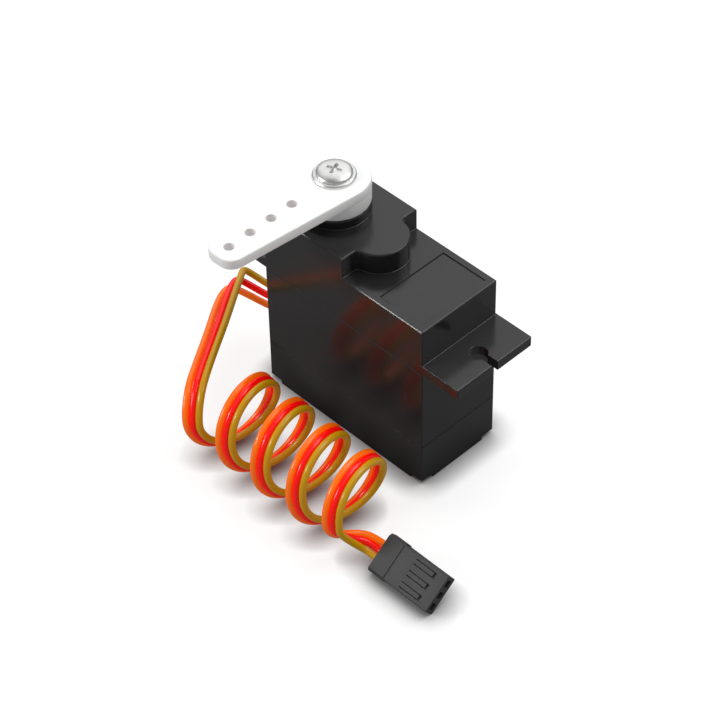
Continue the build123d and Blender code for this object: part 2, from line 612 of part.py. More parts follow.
def horn_screw():
    """Pan-head screw with a flange and a cross recess."""
    top = HORN_TOP_Z + HORN_SCREW_FLANGE_HEIGHT
    screw = bar(OUTPUT_X, 0, HORN_TOP_Z - HORN_SCREW_LENGTH, HORN_TOP_Z, HORN_SCREW_RADIUS, SCREW_SIDES)
    screw += rod(OUTPUT_X, 0, HORN_TOP_Z, top, HORN_SCREW_FLANGE_RADIUS)
    head = rod(OUTPUT_X, 0, top, top + HORN_SCREW_HEAD_HEIGHT, HORN_SCREW_HEAD_RADIUS)
    head = chamfer(edges_at(head, top + HORN_SCREW_HEAD_HEIGHT), HORN_SCREW_DOME)
    screw += head
    for turn in (0, 90):
        arm = Box(DRIVE_ARM_LENGTH, DRIVE_ARM_WIDTH, 2 * DRIVE_DEPTH)
        screw -= Pos(OUTPUT_X, 0, top + HORN_SCREW_HEAD_HEIGHT) * Rot(0, 0, turn + DRIVE_TURN) * arm
    return screw


# Potentiometer that reads the output shaft
def potentiometer_housing():
    """Cup that hangs under the gear floor."""
    cup = rod(OUTPUT_X, 0, POT_BOTTOM_Z, PLATE_BOTTOM_Z, POT_RADIUS)
    cup -= rod(OUTPUT_X, 0, POT_BOTTOM_Z - PAST, PLATE_BOTTOM_Z - POT_WALL, POT_RADIUS - POT_WALL)
    return cup - rod(OUTPUT_X, 0, POT_BOTTOM_Z, PLATE_BOTTOM_Z + PAST, POT_BORE)


def potentiometer_base():
    """Insulating disc that carries the resistance track."""
    radius = POT_RADIUS - POT_WALL - BUSH_SEAT_GAP
    disc = rod(OUTPUT_X, 0, POT_BOTTOM_Z, POT_BOTTOM_Z + POT_BASE_THICKNESS, radius)
    for leg in pot_leg_places():
        disc -= block(OUTPUT_X - POT_LEG_THICKNESS / 2, OUTPUT_X + POT_LEG_THICKNESS / 2,
                      leg - POT_LEG_WIDTH / 2, leg + POT_LEG_WIDTH / 2,
                      POT_BOTTOM_Z - PAST, POT_BOTTOM_Z + POT_BASE_THICKNESS + PAST)
    return disc


def pot_leg_places():
    """Where the three potentiometer legs stand across the case."""
    return [step * POT_LEG_PITCH for step in (-1, 0, 1)]


def potentiometer_legs():
    """Three flat legs from the base disc down to the board."""
    return Compound(children=[
        block(OUTPUT_X - POT_LEG_THICKNESS / 2, OUTPUT_X + POT_LEG_THICKNESS / 2,
              leg - POT_LEG_WIDTH / 2, leg + POT_LEG_WIDTH / 2, BOARD_TOP_Z,
              POT_BOTTOM_Z + POT_BASE_THICKNESS)
        for leg in pot_leg_places()])


def potentiometer_shaft():
    """Thin shaft from the wiper up into the output gear."""
    return rod(OUTPUT_X, 0, SHAFT_FOOT_Z, OUTPUT_WHEEL_TOP - RUNNING_GAP, POT_SHAFT_RADIUS)


def potentiometer_wiper():
    """Disc with two spring fingers that slide on the track."""
    disc = rod(OUTPUT_X, 0, WIPER_Z, WIPER_Z + WIPER_THICKNESS, WIPER_RADIUS)
    low, high = WIPER_Z - PAST, WIPER_Z + WIPER_THICKNESS + PAST
    inner = OUTPUT_X + WIPER_FINGER_INNER
    for side in (-1, 1):
        disc -= block(inner, inner + WIPER_FINGER_GAP, side * WIPER_SLOT_Y - WIPER_SLOT_WIDTH / 2,
                      side * WIPER_SLOT_Y + WIPER_SLOT_WIDTH / 2, low, high)
    return disc - rod(OUTPUT_X, 0, low, high, POT_SHAFT_RADIUS)


# Motor
def motor_can():
    """Steel can with its front bearing boss."""
    can = rod(MOTOR_X, 0, MOTOR_BOTTOM_Z, PLATE_BOTTOM_Z, MOTOR_RADIUS)
    can = chamfer(edges_at(can, PLATE_BOTTOM_Z), MOTOR_CAN_BREAK)
    boss_top = PLATE_BOTTOM_Z + MOTOR_BOSS_HEIGHT
    can += rod(MOTOR_X, 0, PLATE_BOTTOM_Z - MOTOR_CAN_BREAK, boss_top, MOTOR_BOSS_RADIUS)
    return can - rod(MOTOR_X, 0, MOTOR_BOTTOM_Z + MOTOR_SHAFT_FOOT - RUNNING_GAP, boss_top + PAST,
                     MOTOR_SHAFT_RADIUS + RUNNING_GAP)


def motor_shaft():
    """Steel shaft that carries the pinion."""
    return rod(MOTOR_X, 0, MOTOR_BOTTOM_Z + MOTOR_SHAFT_FOOT, FIRST_PINION_Z + MOTOR_SHAFT_STUB,
               MOTOR_SHAFT_RADIUS)


def motor_end_cap():
    """Moulded cap that closes the can and holds the brush tabs."""
    return rod(MOTOR_X, 0, MOTOR_BOTTOM_Z - MOTOR_CAP_HEIGHT, MOTOR_BOTTOM_Z, MOTOR_CAP_RADIUS)


def motor_tabs():
    """Two solder tabs between the end cap and the board."""
    return Compound(children=[
        block(MOTOR_X - MOTOR_TAB_THICKNESS / 2, MOTOR_X + MOTOR_TAB_THICKNESS / 2,
              side * MOTOR_TAB_Y - MOTOR_TAB_WIDTH / 2,
              side * MOTOR_TAB_Y + MOTOR_TAB_WIDTH / 2,
              BOARD_TOP_Z, MOTOR_BOTTOM_Z - MOTOR_CAP_HEIGHT)
        for side in (-1, 1)])


# Circuit board and what is soldered to it
def circuit_board():
    """Board that lies on the ribs of the bottom cover."""
    board = block(-BOARD_LENGTH / 2, BOARD_LENGTH / 2, -BOARD_WIDTH / 2, BOARD_WIDTH / 2,
                  BOARD_TOP_Z - BOARD_THICKNESS, BOARD_TOP_Z)
    return chamfer(board.edges().filter_by(Axis.Z), BOARD_CORNER)


def control_chip():
    """Servo controller chip with a row of legs on each long side."""
    top = BOARD_TOP_Z - BOARD_THICKNESS
    chip = block(-CHIP_LENGTH / 2, CHIP_LENGTH / 2, -CHIP_WIDTH / 2, CHIP_WIDTH / 2, top - CHIP_HEIGHT, top)
    for leg in range(CHIP_LEGS):
        x = (leg - (CHIP_LEGS - 1) / 2) * CHIP_LEG_PITCH
        reach = CHIP_WIDTH / 2 + CHIP_LEG_REACH
        chip += block(x - CHIP_LEG_WIDTH / 2, x + CHIP_LEG_WIDTH / 2, -reach, reach, top - CHIP_LEG_HEIGHT, top)
    return chip


def driver_chips():
    """Two motor driver chips beside the motor."""
    return Compound(children=[
        block(DRIVER_X - DRIVER_LENGTH / 2, DRIVER_X + DRIVER_LENGTH / 2,
              side * DRIVER_Y - DRIVER_WIDTH / 2, side * DRIVER_Y + DRIVER_WIDTH / 2,
              BOARD_TOP_Z, BOARD_TOP_Z + DRIVER_HEIGHT)
        for side in (-1, 1)])


def smoothing_capacitor():
    """Small upright can on the board, under the potentiometer."""
    return rod(CAPACITOR_X, CAPACITOR_Y, BOARD_TOP_Z, BOARD_TOP_Z + CAPACITOR_HEIGHT, CAPACITOR_RADIUS)


# Lead
def exit_rows():
    """The wires in order, with their places across the case at the exit."""
    return [("orange", -WIRE_EXIT_PITCH), ("red", 0.0), ("olive", WIRE_EXIT_PITCH)]


def cable_grommet():
    """Strain relief in the end wall, with a lip on its inside."""
    body = block(GROMMET_FACE_X, -END_X + WALL, -GROMMET_WIDTH / 2, GROMMET_WIDTH / 2,
                 COVER_SEAM_Z - GROMMET_HEIGHT / 2, COVER_SEAM_Z + GROMMET_HEIGHT / 2)
    body = chamfer([e for e in body.edges() if abs(e.center().X - GROMMET_FACE_X) < 1e-4], GROMMET_BREAK)
    lip = GROMMET_LIP
    body += block(-END_X + WALL, -END_X + WALL + GROMMET_LIP_THICKNESS,
                  -GROMMET_WIDTH / 2 - lip, GROMMET_WIDTH / 2 + lip,
                  COVER_SEAM_Z - GROMMET_HEIGHT / 2 - lip, COVER_SEAM_Z + GROMMET_HEIGHT / 2 + lip)
    return body


def corner_radii(points):
    """The largest tangent arc that the two runs at each corner allow."""
    places = [Vector(*p) for p in points]
    radii = []
    for before, here, after in zip(places, places[1:], places[2:]):
        first, second = here - before, after - here
        turn = math.radians(first.get_angle(second))
        radii.append(0.45 * min(first.length, second.length) / math.tan(turn / 2))
    return radii


def wire(points, name):
    """A plain six-sided tube along straight runs joined by tangent arcs."""
    radii = corner_radii(points)
    path = FilletPolyline(*points, radius=radii)
    start = Plane(origin=path @ 0, z_dir=path % 0)
    section = start * RegularPolygon(WIRE_DIAMETER / 2, WIRE_SIDES)
    tube = sweep(section, path=path)
    print(f"{name}: radii {[round(r, 2) for r in radii]} mm, length {path.length:.1f} mm, "
          f"volume {tube.volume:.2f} against {section.area * path.length:.2f} mm3")
    return tube


def board_leads():
    """Short wires from the grommet down to the board, each with one square bend."""
    inner = -END_X + WALL + GROMMET_LIP_THICKNESS
    foot = -BOARD_LENGTH / 2 + LEAD_DROP
    out = []
    for name, y in exit_rows():
        path = Polyline((inner, y, COVER_SEAM_Z), (foot, y, COVER_SEAM_Z), (foot, y, BOARD_TOP_Z))
        start = Plane(origin=path @ 0, z_dir=path % 0)
        section = start * RegularPolygon(WIRE_DIAMETER / 2, WIRE_SIDES)
        out.append(sweep(section, path=path, transition=Transition.RIGHT))
        print(f"board lead {name}: length {path.length:.1f} mm")
    return Compound(children=out)


# Routes of the three wires, from the grommet's face to the coil
EXIT_Z = COVER_SEAM_Z
DROP_ROUTES = {
    "orange": [(GROMMET_FACE_X, -WIRE_EXIT_PITCH, EXIT_Z), (-15.6, -1.45, 6.1), (-17.9, -2.1, 6.1),
               (-20.3, -3.2, 7.3), (-22.2, -4.3, 8.0), (-22.0, -5.7, 8.2), (-20.3, -8.1, 8.5),
               (-17.2, -12.1, 8.5), (-14.0, -16.5, 8.7), (-11.6, -19.8, 8.8), (-10.0, -21.6, 7.3)],
    "red": [(GROMMET_FACE_X, 0.0, EXIT_Z), (-15.6, -0.1, 6.15), (-18.3, -1.1, 6.5),
            (-20.6, -2.4, 8.0), (-21.7, -3.3, 8.8), (-21.2, -4.7, 9.1), (-19.5, -7.0, 9.3),
            (-16.5, -11.1, 9.1), (-13.2, -15.8, 9.2), (-10.8, -19.3, 9.1), (-9.2, -21.4, 7.6)],
    "olive": [(GROMMET_FACE_X, WIRE_EXIT_PITCH, EXIT_Z), (-15.6, 1.2, 6.3), (-19.2, -0.1, 7.0),
              (-21.2, -1.4, 8.8), (-21.7, -2.3, 9.7), (-20.7, -3.6, 10.1), (-19.0, -5.8, 10.1),
              (-15.8, -10.3, 9.9), (-12.5, -15.3, 9.8), (-9.8, -19.2, 9.5), (-8.4, -21.2, 8.0)],
}

# Routes of the three wires, from the coil to the plug's rear face
TAIL_ROUTES = {
    "orange": [(13.6, -21.2, 3.6), (13.9, -18.8, 2.6), (14.7, -17.1, 2.5)],
    "red": [(14.3, -20.9, 4.3), (14.8, -19.3, 3.1), (15.5, -18.0, 2.75)],
    "olive": [(15.0, -21.1, 5.2), (15.4, -19.9, 3.7), (16.1, -19.0, 2.3)],
}


def lead_coil():
    """The coiled part of the lead, as one round bar of its outer size."""
    bar = Rot(0, 90, 0) * Cylinder(COIL_RADIUS, COIL_END_X - COIL_START_X)
    return Pos((COIL_START_X + COIL_END_X) / 2, COIL_Y, COIL_RADIUS) * bar


# Plug, modelled level and then rolled over on its long lower edge
PLUG_PLACE = Pos(PLUG_REAR_X, PLUG_Y, PLUG_Z) * Rot(PLUG_ROLL, 0, 0)


def plug_ports(pitch):
    """Sideways places of the three ways of the plug."""
    return [step * pitch for step in (-1, 0, 1)]


def plug_housing():
    """Three-way plug: rear collar, slim front, sockets and latch tongues."""
    collar = block(0, PLUG_COLLAR_LENGTH, -PLUG_COLLAR_WIDTH / 2, PLUG_COLLAR_WIDTH / 2,
                   -PLUG_COLLAR_THICKNESS / 2, PLUG_COLLAR_THICKNESS / 2)
    collar = chamfer(collar.edges().filter_by(Axis.X), PLUG_COLLAR_CHAMFER)
    front_end = PLUG_COLLAR_LENGTH + PLUG_FRONT_LENGTH
    front = block(PLUG_COLLAR_LENGTH / 2, front_end, -PLUG_FRONT_WIDTH / 2, PLUG_FRONT_WIDTH / 2,
                  -PLUG_FRONT_THICKNESS / 2, PLUG_FRONT_THICKNESS / 2)
    front = chamfer(front.edges().filter_by(Axis.X), PLUG_EDGE)
    body = collar + front
    top = PLUG_FRONT_THICKNESS / 2
    for y in plug_ports(SOCKET_PITCH):
        body -= block(front_end - SOCKET_DEPTH, front_end + PAST, y - SOCKET_SIZE / 2, y + SOCKET_SIZE / 2,
                      -SOCKET_SIZE / 2, SOCKET_SIZE / 2)
        tongue_end = front_end - TONGUE_FRONT_MARGIN
        for side in (-1, 1):
            edge = y + side * TONGUE_WIDTH / 2
            body -= block(tongue_end - TONGUE_LENGTH, tongue_end, edge - TONGUE_GROOVE / 2,
                          edge + TONGUE_GROOVE / 2, top - TONGUE_DEPTH, top + PAST)
        body -= block(tongue_end - TONGUE_SLOT_LENGTH, tongue_end, y - TONGUE_WIDTH / 2,
                      y + TONGUE_WIDTH / 2, top - TONGUE_DEPTH, top + PAST)
    return PLUG_PLACE * body


def plug_contacts():
    """Three folded metal contacts, one in each socket."""
    front_end = PLUG_COLLAR_LENGTH + PLUG_FRONT_LENGTH
    start, end = front_end - CONTACT_SET_BACK - CONTACT_LENGTH, front_end - CONTACT_SET_BACK
    out = []
    for y in plug_ports(SOCKET_PITCH):
        half = CONTACT_SIZE / 2
        sleeve = block(start, end, y - half, y + half, -half, half)
        hollow = half - CONTACT_WALL
        sleeve -= block(start + CONTACT_NECK, end + PAST, y - hollow, y + hollow, -hollow, hollow)
        out.append(PLUG_PLACE * sleeve)
    return Compound(children=out)


def plug_entry(row):
    """The last straight run of a wire, square into the plug's rear face."""
    places = [PLUG_PLACE * Pos(x, row * PLUG_WIRE_PITCH, 0) for x in (-PLUG_STRAIGHT, 0)]
    return [tuple(place.position) for place in places]


nodes = {
    "gear_case": gear_case(),
    "middle_case": middle_case(),
    "bottom_cover": bottom_cover(),
    "case_screws": case_screws(),
    "output_bush": output_bush(),
    "middle_pin": rod(MIDDLE_X, 0, PIN_BOTTOM_Z, PIN_TOP_Z, PIN_RADIUS),
    "motor_pinion": motor_pinion(),
    "motor_shaft": motor_shaft(),
    "first_gear": first_gear(),
    "second_gear": second_gear(),
    "third_gear": third_gear(),
    "output_gear": output_gear(),
    "horn": horn(),
    "horn_screw": horn_screw(),
    "potentiometer_housing": potentiometer_housing(),
    "potentiometer_base": potentiometer_base(),
    "potentiometer_legs": potentiometer_legs(),
    "potentiometer_shaft": potentiometer_shaft(),
    "potentiometer_wiper": potentiometer_wiper(),
    "motor_can": motor_can(),
    "motor_end_cap": motor_end_cap(),
    "motor_tabs": motor_tabs(),
    "circuit_board": circuit_board(),
    "control_chip": control_chip(),
    "driver_chips": driver_chips(),
    "smoothing_capacitor": smoothing_capacitor(),
    "cable_grommet": cable_grommet(),
    "board_leads": board_leads(),
    "lead_coil": lead_coil(),
    "plug_housing": plug_housing(),
    "plug_contacts": plug_contacts(),
}
for index, colour in enumerate(("orange", "red", "olive")):
    nodes[f"wire_{colour}_drop"] = wire(DROP_ROUTES[colour], f"{colour} drop")
    nodes[f"wire_{colour}_tail"] = wire(TAIL_ROUTES[colour] + plug_entry(1 - index), f"{colour} tail")

for node_name, solid in nodes.items():
    save(node_name, solid)
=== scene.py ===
"""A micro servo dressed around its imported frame: finishes for the moulded case,
horn, fasteners and gear train, the three-wire lead with its coil, and the plug."""

import logging
import math
from dataclasses import dataclass, field
from enum import Enum

import bpy
import bmesh
from mathutils import Euler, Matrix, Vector

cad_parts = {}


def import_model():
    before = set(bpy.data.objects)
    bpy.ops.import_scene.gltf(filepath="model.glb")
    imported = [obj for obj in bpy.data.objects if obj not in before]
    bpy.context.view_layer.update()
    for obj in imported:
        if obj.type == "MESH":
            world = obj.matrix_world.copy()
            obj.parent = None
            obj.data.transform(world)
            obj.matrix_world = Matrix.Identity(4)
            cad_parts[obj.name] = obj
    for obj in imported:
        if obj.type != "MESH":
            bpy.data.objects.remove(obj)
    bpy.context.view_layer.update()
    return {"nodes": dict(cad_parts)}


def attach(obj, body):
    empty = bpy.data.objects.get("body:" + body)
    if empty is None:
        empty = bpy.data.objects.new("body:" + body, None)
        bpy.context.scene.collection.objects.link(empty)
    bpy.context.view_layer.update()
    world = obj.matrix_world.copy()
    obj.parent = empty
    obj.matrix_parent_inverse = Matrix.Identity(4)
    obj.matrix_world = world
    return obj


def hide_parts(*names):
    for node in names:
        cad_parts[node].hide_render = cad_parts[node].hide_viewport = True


log = logging.getLogger("micro_servo")

MM = 0.001
Point = tuple[float, float, float]
Colour = tuple[float, float, float]
Pair = tuple[float, float]
Piece = bpy.types.Object
Socket = bpy.types.NodeSocket


class Body(str, Enum):
    """The rigid bodies that the scene's own pieces ride on."""

    CASE = "servo_case"
    OUTPUT = "output_shaft"


class WireColour(Enum):
    """The three wires, in their order across the ribbon, -1 to +1."""

    ORANGE = -1
    RED = 0
    OLIVE = 1

    @property
    def label(self) -> str:
        """The wire's name in lower case."""
        return self.name.lower()


def metres(points: list[Point]) -> list[Point]:
    """Turns points in millimetres into metres.

    Args:
        points: places in the shared frame, in millimetres.

    Returns:
        The same places in metres.
    """
    return [tuple(value * MM for value in point) for point in points]


class Graph:
    """Adds and links the nodes of one shader tree."""

    def __init__(self, tree: bpy.types.NodeTree) -> None:
        """Clears a node tree and works on it."""
        self.tree = tree
        tree.nodes.clear()

    def add(self, kind: str, **inputs: object) -> bpy.types.Node:
        """Adds a node.

        Args:
            kind: the node's type without its ShaderNode prefix.
            inputs: input names, with _ for a space, and values or sockets;
                a name that starts with set_ sets a property of the node.

        Returns:
            The new node.
        """
        name = kind if kind.startswith("Node") else f"ShaderNode{kind}"
        node = self.tree.nodes.new(name)
        for key, value in inputs.items():
            if key.startswith("set_"):
                setattr(node, key[4:], value)
        for key, value in inputs.items():
            if not key.startswith("set_"):
                self.feed(node.inputs[key.replace("_", " ")], value)
        return node

    def feed(self, socket: Socket, value: object) -> None:
        """Links a socket to an input, or sets the input's value."""
        if isinstance(value, Socket):
            self.tree.links.new(value, socket)
        elif value is not None:
            socket.default_value = value

    def group(self, tree: bpy.types.NodeTree, inputs: dict[str, object]) -> bpy.types.Node:
        """Places a shader group.

        Args:
            tree: the group.
            inputs: input names with their values or sockets.

        Returns:
            The group's node.
        """
        node = self.add("Group", set_node_tree=tree)
        for name, value in inputs.items():
            self.feed(node.inputs[name], value)
        return node

    def place(self) -> Socket:
        """The socket of the Object coordinates, in metres."""
        return self.add("TexCoord").outputs["Object"]

    def from_mm(self, value: object) -> Socket:
        """Turns a value in millimetres into metres."""
        return self.math("MULTIPLY", value, MM)

    def math(self, operation: str, first: object, second: object = None,
             clamp: bool = False) -> Socket:
        """Adds a Math node.

        Args:
            operation: the Math node's operation.
            first: its first value or socket.
            second: its second value or socket.
            clamp: whether the result is kept from 0 to 1.

        Returns:
            The result's socket.
        """
        node = self.add("Math", set_operation=operation, set_use_clamp=clamp)
        self.feed(node.inputs[0], first)
        self.feed(node.inputs[1], second)
        return node.outputs[0]

    def mix(self, factor: object, first: object, second: object) -> Socket:
        """Mixes two colours and gives the result's socket."""
        node = self.add("Mix", set_data_type="RGBA")
        self.feed(node.inputs["Factor"], factor)
        for index, value in ((6, first), (7, second)):
            value = (*value, 1.0) if isinstance(value, tuple) and len(value) == 3 else value
            self.feed(node.inputs[index], value)
        return node.outputs[2]


def new_group(name: str, inputs: dict[str, tuple[str, object]],
              outputs: dict[str, str]) -> tuple[bpy.types.NodeTree, Graph, dict, bpy.types.Node]:
    """Makes an empty shader group.

    Args:
        name: the group's name.
        inputs: input names with their socket kind and default.
        outputs: output names with their socket kind.

    Returns:
        The group, its graph, its input sockets by name, and its output node.
    """
    tree = bpy.data.node_groups.new(name, "ShaderNodeTree")
    for key, (kind, value) in inputs.items():
        socket = tree.interface.new_socket(key, in_out="INPUT", socket_type=f"NodeSocket{kind}")
        socket.default_value = value
    for key, kind in outputs.items():
        tree.interface.new_socket(key, in_out="OUTPUT", socket_type=f"NodeSocket{kind}")
    graph = Graph(tree)
    entry = graph.add("NodeGroupInput")
    leave = graph.add("NodeGroupOutput")
    return tree, graph, {key: entry.outputs[key] for key in inputs}, leave


@dataclass
class SharedEffects:
    """Shader groups that several finishes place with their own values."""

    drift: bpy.types.NodeTree = field(init=False)
    handling: bpy.types.NodeTree = field(init=False)
    grain: bpy.types.NodeTree = field(init=False)
    wear_and_highlight: bpy.types.NodeTree = field(init=False)
    turned: bpy.types.NodeTree = field(init=False)
    seam: bpy.types.NodeTree = field(init=False)
    panel: bpy.types.NodeTree = field(init=False)

    def __post_init__(self) -> None:
        """Builds every group once."""
        self.drift = self._colour_drift()
        self.handling = self._handling_marks()
        self.grain = self._moulded_grain()
        self.wear_and_highlight = self._edge_wear_and_highlight()
        self.turned = self._turning_lines()
        self.seam = self._seam_shade()
        self.panel = self._panel_shade_line()

    def _colour_drift(self) -> bpy.types.NodeTree:
        """Slow and fine variation of a colour over the surface."""
        wide_share, fine_share, fine_scale = 0.7, 0.3, 9.0
        tree, g, i, out = new_group(
            "Colour Drift",
            {"Color": ("Color", (0.5, 0.5, 0.5, 1.0)), "Amount": ("Float", 0.1),
             "Size mm": ("Float", 4.0)},
            {"Color": "Color"})
        place = g.place()
        scale = g.math("DIVIDE", 1.0 / MM, i["Size mm"])
        wide = g.add("TexNoise", Vector=place, Scale=scale, Detail=3.0, Roughness=0.55)
        fine = g.add("TexNoise", Vector=place, Scale=g.math("MULTIPLY", scale, fine_scale),
                     Detail=2.0)
        both = g.math("ADD", g.math("MULTIPLY", wide.outputs[0], wide_share),
                      g.math("MULTIPLY", fine.outputs[0], fine_share))
        centred = g.math("MULTIPLY", g.math("SUBTRACT", both, 0.5), i["Amount"])
        value = g.math("ADD", g.math("MULTIPLY", centred, 2.0), 1.0)
        tone = g.add("HueSaturation", Hue=0.5, Saturation=1.0, Value=value, Color=i["Color"])
        g.feed(out.inputs["Color"], tone.outputs[0])
        return tree

    def _handling_marks(self) -> bpy.types.NodeTree:
        """Roughness with soft smudges and hair-fine rub marks."""
        rub_turn, rub_stretch, rub_scale = (0.3, 0.5, 0.7), (1.0, 14.0, 14.0), 1.6
        smudge_share, rub_share = 1.6, 0.5
        tree, g, i, out = new_group(
            "Handling Marks",
            {"Roughness": ("Float", 0.3), "Amount": ("Float", 0.1), "Size mm": ("Float", 3.0)},
            {"Roughness": "Float"})
        place = g.place()
        scale = g.math("DIVIDE", 1.0 / MM, i["Size mm"])
        smudge = g.add("TexNoise", Vector=place, Scale=scale, Detail=5.0, Roughness=0.6,
                       Distortion=0.6)
        stretched = g.add("Mapping", Vector=place, Rotation=rub_turn, Scale=rub_stretch)
        rubs = g.add("TexNoise", Vector=stretched.outputs[0],
                     Scale=g.math("MULTIPLY", scale, rub_scale), Detail=4.0)
        lines = g.add("MapRange", Value=rubs.outputs[0], From_Min=0.56, From_Max=0.72)
        soft = g.math("SUBTRACT", smudge.outputs[0], 0.5)
        marks = g.math("ADD", g.math("MULTIPLY", soft, smudge_share),
                       g.math("MULTIPLY", lines.outputs[0], rub_share))
        value = g.math("ADD", i["Roughness"], g.math("MULTIPLY", marks, i["Amount"]), clamp=True)
        g.feed(out.inputs["Roughness"], value)
        return tree

    def _moulded_grain(self) -> bpy.types.NodeTree:
        """Height of a spark-eroded mould's fine grain with a faint ripple."""
        ripple_scale = 0.06
        tree, g, i, out = new_group(
            "Moulded Grain", {"Size mm": ("Float", 0.2), "Ripple": ("Float", 0.2)},
            {"Height": "Float"})
        place = g.place()
        scale = g.math("DIVIDE", 1.0 / MM, i["Size mm"])
        grain = g.add("TexNoise", Vector=place, Scale=scale, Detail=2.0, Roughness=0.5)
        ripple = g.add("TexNoise", Vector=place, Scale=g.math("MULTIPLY", scale, ripple_scale),
                       Detail=1.0)
        height = g.math("ADD", grain.outputs[0],
                        g.math("MULTIPLY", ripple.outputs[0], i["Ripple"]))
        g.feed(out.inputs["Height"], height)
        return tree

    def _edge_wear_and_highlight(self) -> bpy.types.NodeTree:
        """Mask of outer edges for rubbed wear and a painted edge highlight, broken up by noise."""
        flat_dot, edge_dot, patch_size = 0.985, 0.86, 0.8 * MM
        tree, g, i, out = new_group(
            "Edge Wear And Highlight", {"Width mm": ("Float", 0.2), "Amount": ("Float", 0.5)},
            {"Mask": "Float"})
        round_edge = g.add("Bevel", set_samples=4, Radius=g.from_mm(i["Width mm"]))
        plain = g.add("NewGeometry").outputs["Normal"]
        dot = g.add("VectorMath", set_operation="DOT_PRODUCT")
        g.feed(dot.inputs[0], round_edge.outputs[0])
        g.feed(dot.inputs[1], plain)
        edge = g.add("MapRange", Value=dot.outputs["Value"], From_Min=flat_dot, From_Max=edge_dot)
        noise = g.add("TexNoise", Vector=g.place(), Scale=1.0 / patch_size, Detail=4.0,
                      Roughness=0.7)
        broken = g.add("MapRange", Value=noise.outputs[0], From_Min=0.2, From_Max=0.6)
        rubbed_and_lit = g.math("MULTIPLY", edge.outputs[0], broken.outputs[0])
        g.feed(out.inputs["Mask"], g.math("MULTIPLY", rubbed_and_lit, i["Amount"], clamp=True))
        return tree

    def _turning_lines(self) -> bpy.types.NodeTree:
        """Height of fine lines round an upright axis, as a lathe leaves."""
        tree, g, i, out = new_group(
            "Turning Lines",
            {"Axis X mm": ("Float", 0.0), "Axis Y mm": ("Float", 0.0), "Pitch mm": ("Float", 0.05)},
            {"Height": "Float"})
        split = g.add("SeparateXYZ", Vector=g.place())
        dx = g.math("SUBTRACT", split.outputs[0], g.from_mm(i["Axis X mm"]))
        dy = g.math("SUBTRACT", split.outputs[1], g.from_mm(i["Axis Y mm"]))
        squares = g.math("ADD", g.math("MULTIPLY", dx, dx), g.math("MULTIPLY", dy, dy))
        along = g.math("ADD", g.math("SQRT", squares), split.outputs[2])
        steps = g.math("DIVIDE", along, g.from_mm(i["Pitch mm"]))
        noise = g.add("TexNoise", set_noise_dimensions="1D", W=steps, Scale=0.5, Detail=3.0)
        g.feed(out.inputs["Height"], noise.outputs[0])
        return tree

    def _seam_shade(self) -> bpy.types.NodeTree:
        """Roughness and mask of painted shade in the thin seams at two heights."""
        softness, seam_roughness = 0.25, 0.85
        tree, g, i, out = new_group(
            "Seam Shade",
            {"Roughness": ("Float", 0.3), "Low mm": ("Float", 0.0), "High mm": ("Float", 1.0),
             "Half Width mm": ("Float", 0.1)},
            {"Roughness": "Float", "Mask": "Float"})
        height = g.add("SeparateXYZ", Vector=g.place()).outputs[2]
        masks = []
        for level in ("Low mm", "High mm"):
            off = g.math("ABSOLUTE", g.math("SUBTRACT", height, g.from_mm(i[level])))
            share = g.math("DIVIDE", off, g.from_mm(i["Half Width mm"]))
            masks.append(g.math("SUBTRACT", 1.0, share, clamp=True))
        mask = g.math("POWER", g.math("MAXIMUM", *masks), softness)
        rough = g.math("MAXIMUM", i["Roughness"], g.math("MULTIPLY", mask, seam_roughness))
        g.feed(out.inputs["Roughness"], rough)
        g.feed(out.inputs["Mask"], mask)
        return tree

    def _panel_shade_line(self) -> bpy.types.NodeTree:
        """Roughness and mask of a painted shade line on the two far sides of a rectangle, where the
        recess's step walls lie in shade.
        """
        softness, line_roughness = 0.4, 0.9
        tree, g, i, out = new_group(
            "Panel Shade Line",
            {"Roughness": ("Float", 0.3), "Start X mm": ("Float", 0.0),
             "End X mm": ("Float", 1.0), "Side Y mm": ("Float", 1.0),
             "Lowest mm": ("Float", 0.0), "Line mm": ("Float", 0.09)},
            {"Roughness": "Float", "Mask": "Float"})
        split = g.add("SeparateXYZ", Vector=g.place())
        x, y, z = (g.math("MULTIPLY", split.outputs[axis], 1.0 / MM) for axis in range(3))
        off_x = g.math("SUBTRACT", i["Start X mm"], x)
        off_y = g.math("SUBTRACT", y, i["Side Y mm"])
        off = g.math("ABSOLUTE", g.math("MAXIMUM", off_x, off_y))
        line = g.math("SUBTRACT", 1.0, g.math("DIVIDE", off, i["Line mm"]), clamp=True)
        inside = g.math("MULTIPLY", g.math("LESS_THAN", x, i["End X mm"]),
                        g.math("GREATER_THAN", g.math("ADD", y, i["Side Y mm"]), 0.0))
        above = g.math("MULTIPLY", inside, g.math("GREATER_THAN", z, i["Lowest mm"]))
        mask = g.math("MULTIPLY", g.math("POWER", line, softness), above)
        rough = g.math("MAXIMUM", i["Roughness"], g.math("MULTIPLY", mask, line_roughness))
        g.feed(out.inputs["Roughness"], rough)
        g.feed(out.inputs["Mask"], mask)
        return tree


# near-black painted shade for the seam lines and for the recess's panel line
PAINTED_SHADE_COLOUR = (0.002, 0.002, 0.002)
SUBSURFACE_REACH = 0.6


